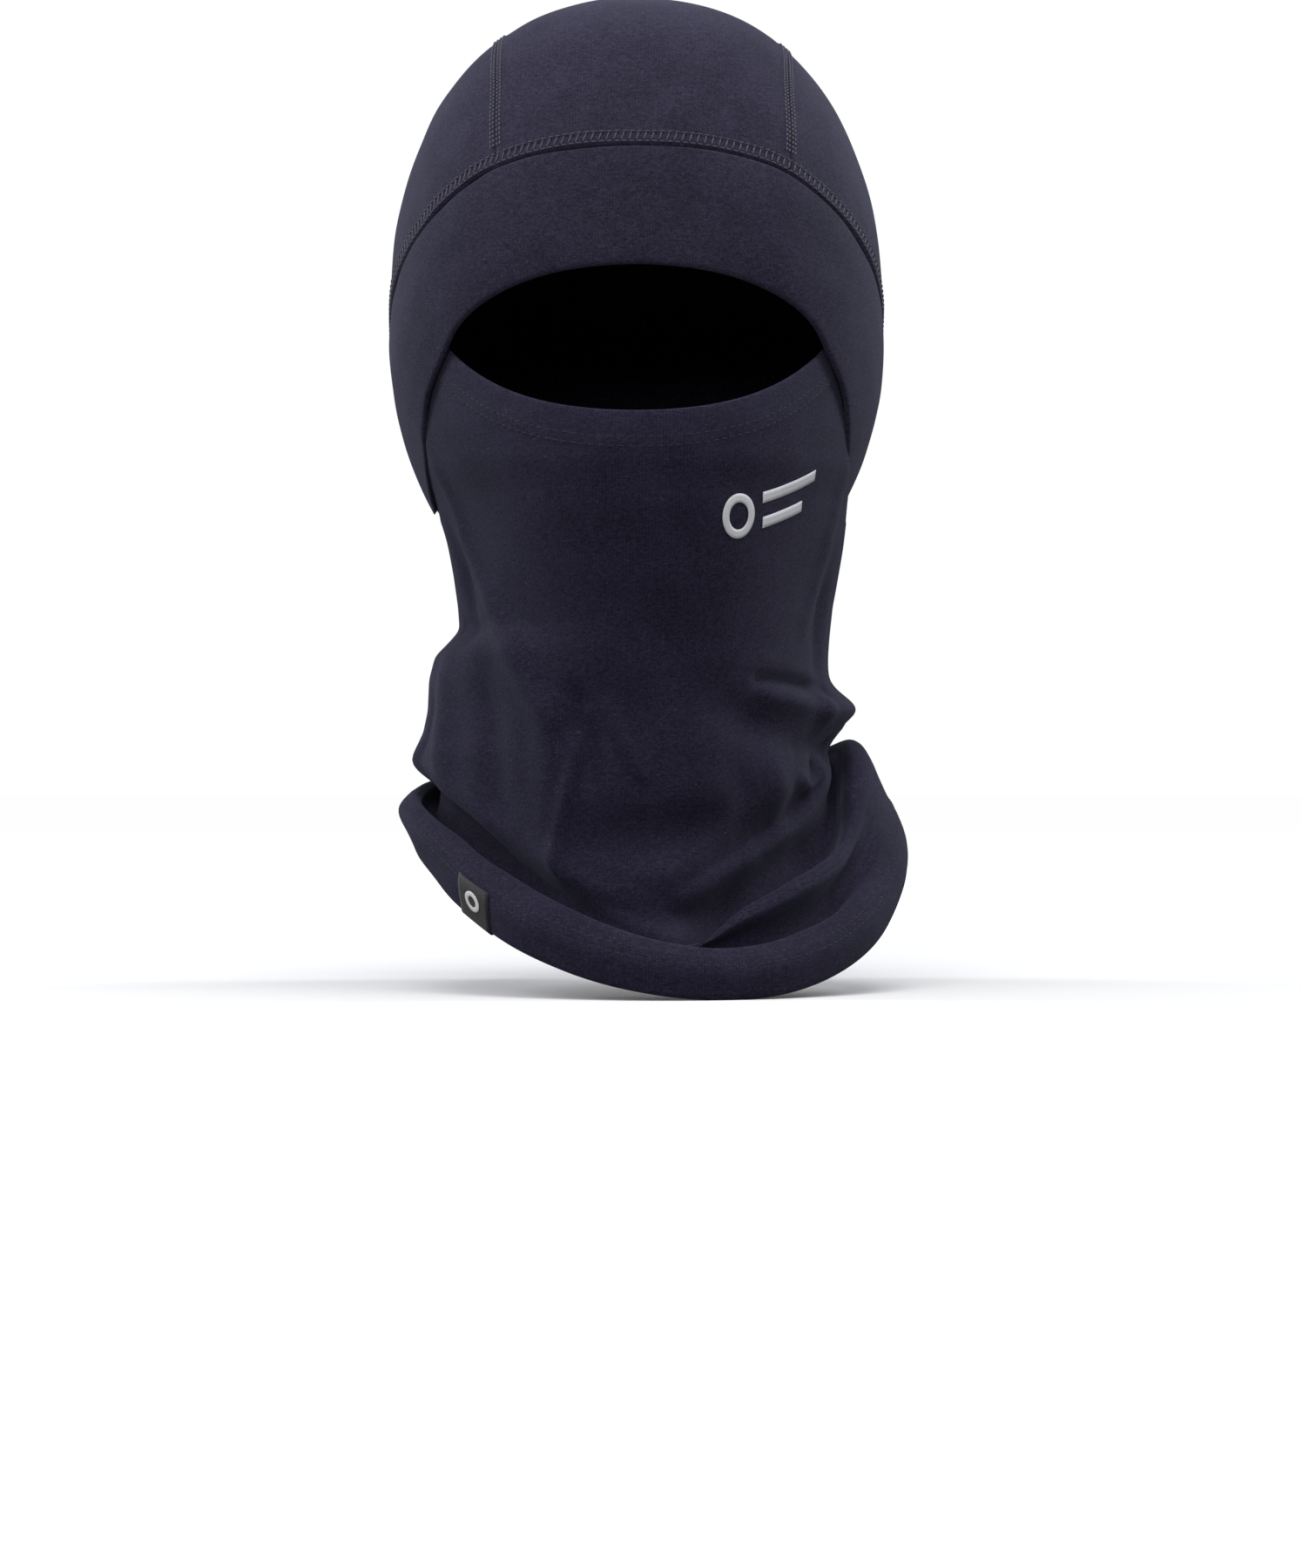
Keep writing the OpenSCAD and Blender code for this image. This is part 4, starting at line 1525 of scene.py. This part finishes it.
    def make_cloth(self, wardrobe: Wardrobe) -> None:
        """Builds and dresses the tube."""
        nodes = ("mask_panel", "neck_tube")
        # The mask and neck wear the darker copy of the jersey: painted shade.
        wardrobe.dress(self.build("mask_and_neck"), JERSEY_SHADED, Slot.JERSEY, *nodes, bends=True)

    def make_stitching(self, wardrobe: Wardrobe) -> None:
        """Builds and dresses the stitching of the tube's seam and hems."""
        back, collar = self.back_stitching("tube_back_seam"), self.collar_hem_stitching("collar_hem_seam")
        wardrobe.dress(back, DARK_THREAD, Slot.THREAD, "tube_back_stitching")
        wardrobe.dress(collar, DARK_THREAD, Slot.THREAD, "collar_hem_stitching")
        hem = self.mask_hem_stitching("mask_hem_seam")
        wardrobe.dress(hem, DARK_THREAD, Slot.THREAD, "mask_hem_stitching", bends=True)


# ---------- Labels and print ----------


@dataclass
class Trim:
    """The folded label on the hem with its woven ring, the care label inside, and the print on the mask."""

    tube: NeckTube
    label_angle: float = -38.0
    label_half: float = 4.4
    label_rise: float = 12.5
    ply: float = 0.35
    stand_off: float = 0.5
    print_angle: float = 26.0
    print_z: float = -181.0
    print_tilt: float = 15.0
    label_width: float = 13.5
    edge_radius: float = 0.9
    edge_sink: float = 0.55
    inside_lift: float = -1.45
    mark_rise: float = 6.4
    mark_radii: tuple = (1.7, 2.2, 2.7, 3.2)
    ring_across: float = -15.0
    ring_radii: tuple = (4.6, 5.6, 6.6, 7.6)
    bars: tuple = ((4.3, 27.0), (-4.3, 20.0))
    bar_start: float = -3.0
    bar_half: float = 1.9
    ink_lift: float = 0.06
    ink_height: float = 0.18

    def hem_label(self, name: str) -> bpy.types.Object:
        """A strip folded round the hem: down the outside, round the edge and up the inside.

        Args:
            name: The piece's name.

        Returns:
            The label.
        """
        cloth, last = self.tube.cloth, len(self.tube.cloth.grid) - 1.0
        column = self.tube.column(self.label_angle + np.linspace(-1, 1, 13) * self.label_half)
        away = np.linspace(self.label_rise, 0, 15)
        rows = np.stack([self.row_from_hem(d, column) for d in away])
        outside = cloth.at(rows, column[None], self.tube.hem_relief + self.stand_off)
        hem = cloth.at(np.full_like(column, last), column)
        normal = cloth.at(np.full_like(column, last), column, 1.0) - hem
        down = unit(hem - cloth.at(np.full_like(column, last - 1), column))
        turn = np.radians(np.linspace(20, 160, 7))[:, None, None]
        radius = self.edge_radius + self.stand_off
        edge = hem - normal * self.edge_sink + (normal * np.cos(turn) + down * np.sin(turn)) * radius
        inside = cloth.at(rows[-7:][::-1], column[None], self.inside_lift - self.stand_off)
        path = np.concatenate([outside, edge, inside])
        n = normals_of(path, False)
        return closed_sheet(name, path + n * self.ply / 2, path - n * self.ply / 2)

    def row_from_hem(self, distance: float, column: Array) -> Array:
        """The row place at a distance up from the hem, at column places."""
        rows = self.tube.cloth.rows_at(distance, True)
        return np.interp(column, np.arange(len(rows)), rows)

    def hem_mark(self, name: str) -> bpy.types.Object:
        """A plain woven ring on the label.

        Args:
            name: The piece's name.

        Returns:
            The ring.
        """
        column0 = self.tube.column(self.label_angle)
        turn = np.radians(np.arange(0, 360, 12))[None, :]
        radius = np.array(self.mark_radii)[:, None]
        across = radius * np.cos(turn) * self.label_half * 2 / self.label_width
        column = self.tube.column(self.label_angle + across)
        rises = np.linspace(0, 12, 25)
        rows = np.array([self.row_from_hem(float(d), np.array([column0]))[0] for d in rises])
        row = np.interp(self.mark_rise + radius * np.sin(turn), rises, rows)
        lift = self.tube.hem_relief + self.stand_off + self.ply / 2
        return self.printed(name, [(row, column)], lift + 0.04, 0.2)

    def printed(self, name: str, patches: list, lift: float, height: float) -> bpy.types.Object:
        """Thin closed patches on the cloth; a patch of a full turn of columns closes on itself.

        Args:
            name: The piece's name.
            patches: Row and column places of each patch, [row, column].
            lift: Height of their underside above the cloth.
            height: Their thickness.

        Returns:
            One object that holds every patch.
        """
        points, faces, start = [], [], 0
        for row, column in patches:
            under = self.tube.cloth.at(row, column, lift)
            over = self.tube.cloth.at(row, column, lift + height)
            ring = row.shape[1] > 20
            loop = np.concatenate([over, under[::-1]])
            quads, _ = quads_of(len(loop), loop.shape[1], True, ring)
            part = [quads]
            if not ring:
                n, m = row.shape
                a = np.arange(n - 1)
                b = 2 * n - 1 - a
                wall = np.stack([a, a + 1, b - 1, b], -1) * m
                part += [wall, wall[:, ::-1] + m - 1]
            together = np.concatenate(part)
            if signed_volume(loop.reshape(-1, 3), [together]) < 0:
                together = together[:, ::-1]
            points.append(loop.reshape(-1, 3))
            faces.append(together + start)
            start += loop.shape[0] * loop.shape[1]
        return make_mesh(name, np.concatenate(points), [np.concatenate(faces)])

    def mask_print(self, name: str) -> bpy.types.Object:
        """A plain ring beside two plain bars, tilted up towards the wearer's left.

        Args:
            name: The piece's name.

        Returns:
            The print.
        """
        cloth = self.tube.cloth
        column0 = float(self.tube.column(self.print_angle))
        heights = cloth.grid[:, int(round(column0)), 2]
        row0 = float(np.interp(-self.print_z, -heights, np.arange(len(heights))))
        here, over, under, out = cloth.at(
            np.array([row0, row0, row0 + 1, row0]), column0 + np.array([0, 1, 0, 0]), np.array([0, 0, 0, 1])
        )
        level = unit(np.cross([0, 0, 1], out - here))
        upright = np.cross(out - here, level)
        ways = (level, upright)
        to_grid = np.linalg.inv(np.array([[(v - here) @ way for v in (under, over)] for way in ways]))
        tilt = math.radians(self.print_tilt)

        def place(across: Array, up: Array) -> tuple[Array, Array]:
            """Row and column places of a point of the print."""
            x = across * math.cos(tilt) - up * math.sin(tilt)
            y = across * math.sin(tilt) + up * math.cos(tilt)
            row = row0 + to_grid[0, 0] * x + to_grid[0, 1] * y
            return row, column0 + to_grid[1, 0] * x + to_grid[1, 1] * y

        turn = np.radians(np.arange(0, 360, 10))[None, :]
        radius = np.array(self.ring_radii)[:, None]
        patches = [place(self.ring_across + radius * np.cos(turn), radius * np.sin(turn))]
        for rise, reach in self.bars:
            edges = rise + np.linspace(self.bar_half, -self.bar_half, 4)
            patches.append(place(*np.meshgrid(np.linspace(self.bar_start, reach, 18), edges)))
        return self.printed(name, patches, self.ink_lift, self.ink_height)

    def care_label(self, name: str) -> bpy.types.Object:
        """A folded satin label that hangs inside the nape.

        Args:
            name: The piece's name.

        Returns:
            The label.
        """
        column = self.tube.columns + np.linspace(-4.6, 4.6, 13)
        rows = np.linspace(12, 46, 22)[:, None]
        lift = -1.6 - 1.4 * np.sin(np.linspace(0, math.pi, 22))[:, None] ** 2 + 0 * column
        path = self.tube.cloth.at(rows, column[None], lift)
        n = normals_of(path, False)
        return closed_sheet(name, path + n * 0.2, path - n * 0.2)

    def make(self, wardrobe: Wardrobe) -> None:
        """Builds and dresses the labels and the print."""
        wardrobe.dress(self.hem_label("folded_label"), TAPE, Slot.LABEL_TAPE, "hem_label")
        wardrobe.dress(self.hem_mark("label_ring"), MARK, Slot.LABEL_MARK, "hem_label_mark")
        wardrobe.dress(self.care_label("satin_label"), SATIN, Slot.LABEL_MARK, "care_label")
        wardrobe.dress(self.mask_print("ring_and_bars"), INK, Slot.PRINT, "mask_print", bends=True)


# ---------- Studio ----------


@dataclass
class Studio:
    """The camera, a pale floor, a pale surround and soft lights. Lengths are metres."""

    focus: tuple[float, float, float] = (0.00503, 0.0, -0.2726)
    distance: float = 1.8
    height_in_view: float = 0.549
    sensor: float = 36.0
    floor_size: float = 60.0
    floor_fade: tuple[float, float] = (0.35, 1.3)
    backdrop: float = 1.0
    ambient: float = 0.17
    aim: tuple[float, float, float] = (0, 0, -0.15)
    lamps: tuple = (
        ("top box", (0.05, -0.45, 0.95), (1.1, 0.8), 11.5, (1, 1, 1)),
        ("front fill", (-0.2, -2.1, 0.6), (1.1, 1.1), 18.5, (1, 1, 1)),
        ("left edge", (-1.0, 0.15, 0.4), (0.4, 0.8), 8, (0.93, 0.95, 1.0)),
        ("right edge", (1.0, 0.3, 0.5), (0.4, 0.8), 8, (0.93, 0.95, 1.0)),
    )

    def camera(self) -> None:
        """Sets the camera level with the collar, straight in front."""
        data = bpy.data.cameras.new("camera")
        data.sensor_width, data.sensor_fit = self.sensor, "AUTO"
        data.lens = self.sensor * self.distance / self.height_in_view
        data.clip_end = 100
        camera = bpy.data.objects.new("camera", data)
        camera.location = (self.focus[0], -self.distance, self.focus[2])
        camera.rotation_euler = (math.pi / 2, 0, 0)
        bpy.context.scene.collection.objects.link(camera)
        bpy.context.scene.camera = camera

    def lamp(self, name: str, place: tuple, size: tuple, power: float, tint: Colour) -> None:
        """Hangs a soft box.

        Args:
            name: The lamp's name.
            place: Where it hangs.
            size: Width and height.
            power: Watts.
            tint: Colour of its light.
        """
        data = bpy.data.lights.new(name, "AREA")
        data.shape, data.size, data.size_y, data.energy, data.color = "RECTANGLE", *size, power, tint
        lamp = bpy.data.objects.new(name, data)
        lamp.location = place
        away = np.array(place, float) - np.array(self.aim, float)
        flat = math.hypot(away[0], away[1])
        lamp.rotation_euler = (math.atan2(flat, away[2]), 0, math.atan2(away[0], -away[1]))
        bpy.context.scene.collection.objects.link(lamp)

    def lights(self) -> None:
        """A box above the front, a wide fill from the front, and two edge lights behind the sides."""
        for lamp in self.lamps:
            self.lamp(*lamp)

    def surround(self) -> None:
        """A pale surround: bright where it is seen, and dimmer as a light."""
        world = bpy.data.worlds.new("surround")
        world.use_nodes = True
        bpy.context.scene.world = world
        bench = Bench(world.node_tree)
        seen = bench.add("ShaderNodeLightPath").outputs["Is Camera Ray"]
        strength = bench.math("MULTIPLY_ADD", seen, self.backdrop - self.ambient, self.ambient)
        back = next(n for n in world.node_tree.nodes if n.type == "BACKGROUND")
        back.inputs["Color"].default_value = (1, 1, 1, 1)
        bench.put(back.inputs["Strength"], strength)

    def floor(self, height: float) -> None:
        """A wide pale floor at a height.

        Args:
            height: Its height in metres.
        """
        half = self.floor_size / 2
        mesh = bpy.data.meshes.new("floor")
        corners = [(x * half, y * half, height) for x, y in ((-1, -1), (1, -1), (1, 1), (-1, 1))]
        mesh.from_pydata(corners, [], [(0, 1, 2, 3)])
        floor = bpy.data.objects.new("floor", mesh)
        bpy.context.scene.collection.objects.link(floor)
        material, bench, bsdf, place = new_material("pale floor")
        grain = bench.noise(place, 90, 3)
        seen = bench.add("ShaderNodeLightPath").outputs["Is Camera Ray"]
        pale = bench.blend(grain, (0.84, 0.84, 0.845, 1), (0.88, 0.88, 0.885, 1))
        bench.put(bsdf.inputs["Base Color"], bench.blend(seen, (0.22, 0.22, 0.22, 1), pale))
        bsdf.inputs["Roughness"].default_value = 0.9
        away = bench.add("ShaderNodeVectorMath", {0: place}, operation="LENGTH").outputs["Value"]
        glow = bench.step(away, *self.floor_fade)
        shine = bench.blend(glow, (0.06, 0.06, 0.06, 1), (0.84, 0.84, 0.84, 1))
        bench.put(bsdf.inputs["Emission Color"], shine)
        bench.put(bsdf.inputs["Emission Strength"], seen)
        mesh.materials.append(material)

    def build(self, floor_height: float) -> None:
        """Sets up everything round the object.

        Args:
            floor_height: The floor's height in metres.
        """
        self.camera()
        self.lights()
        self.surround()
        self.floor(floor_height)
        bpy.context.scene.view_settings.view_transform = "Standard"


# ---------- Assembly ----------


FLOOR_GAP = 0.0008


def main() -> None:
    logging.basicConfig(level=logging.INFO, format="%(name)s: %(message)s")
    Studio().build(float(CAD_BOX[0][2]) - FLOOR_GAP)
    low = np.minimum(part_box("crown_left_panel")[0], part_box("crown_right_panel")[0])
    high = np.maximum(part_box("crown_left_panel")[1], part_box("crown_right_panel")[1])
    head = Head(half_width=float(high[0] - low[0]) / 2 / MM - Head.fabric)
    LOG.info("half width of the head form: %.2f mm", head.half_width)
    hood, tube, wardrobe = Hood(head), NeckTube(head), Wardrobe(Effects())
    hood.make_cloth(wardrobe)
    tube.make_cloth(wardrobe)
    hood.make_stitching(wardrobe)
    tube.make_stitching(wardrobe)
    Trim(tube).make(wardrobe)


if __name__ == "__main__":
    main()
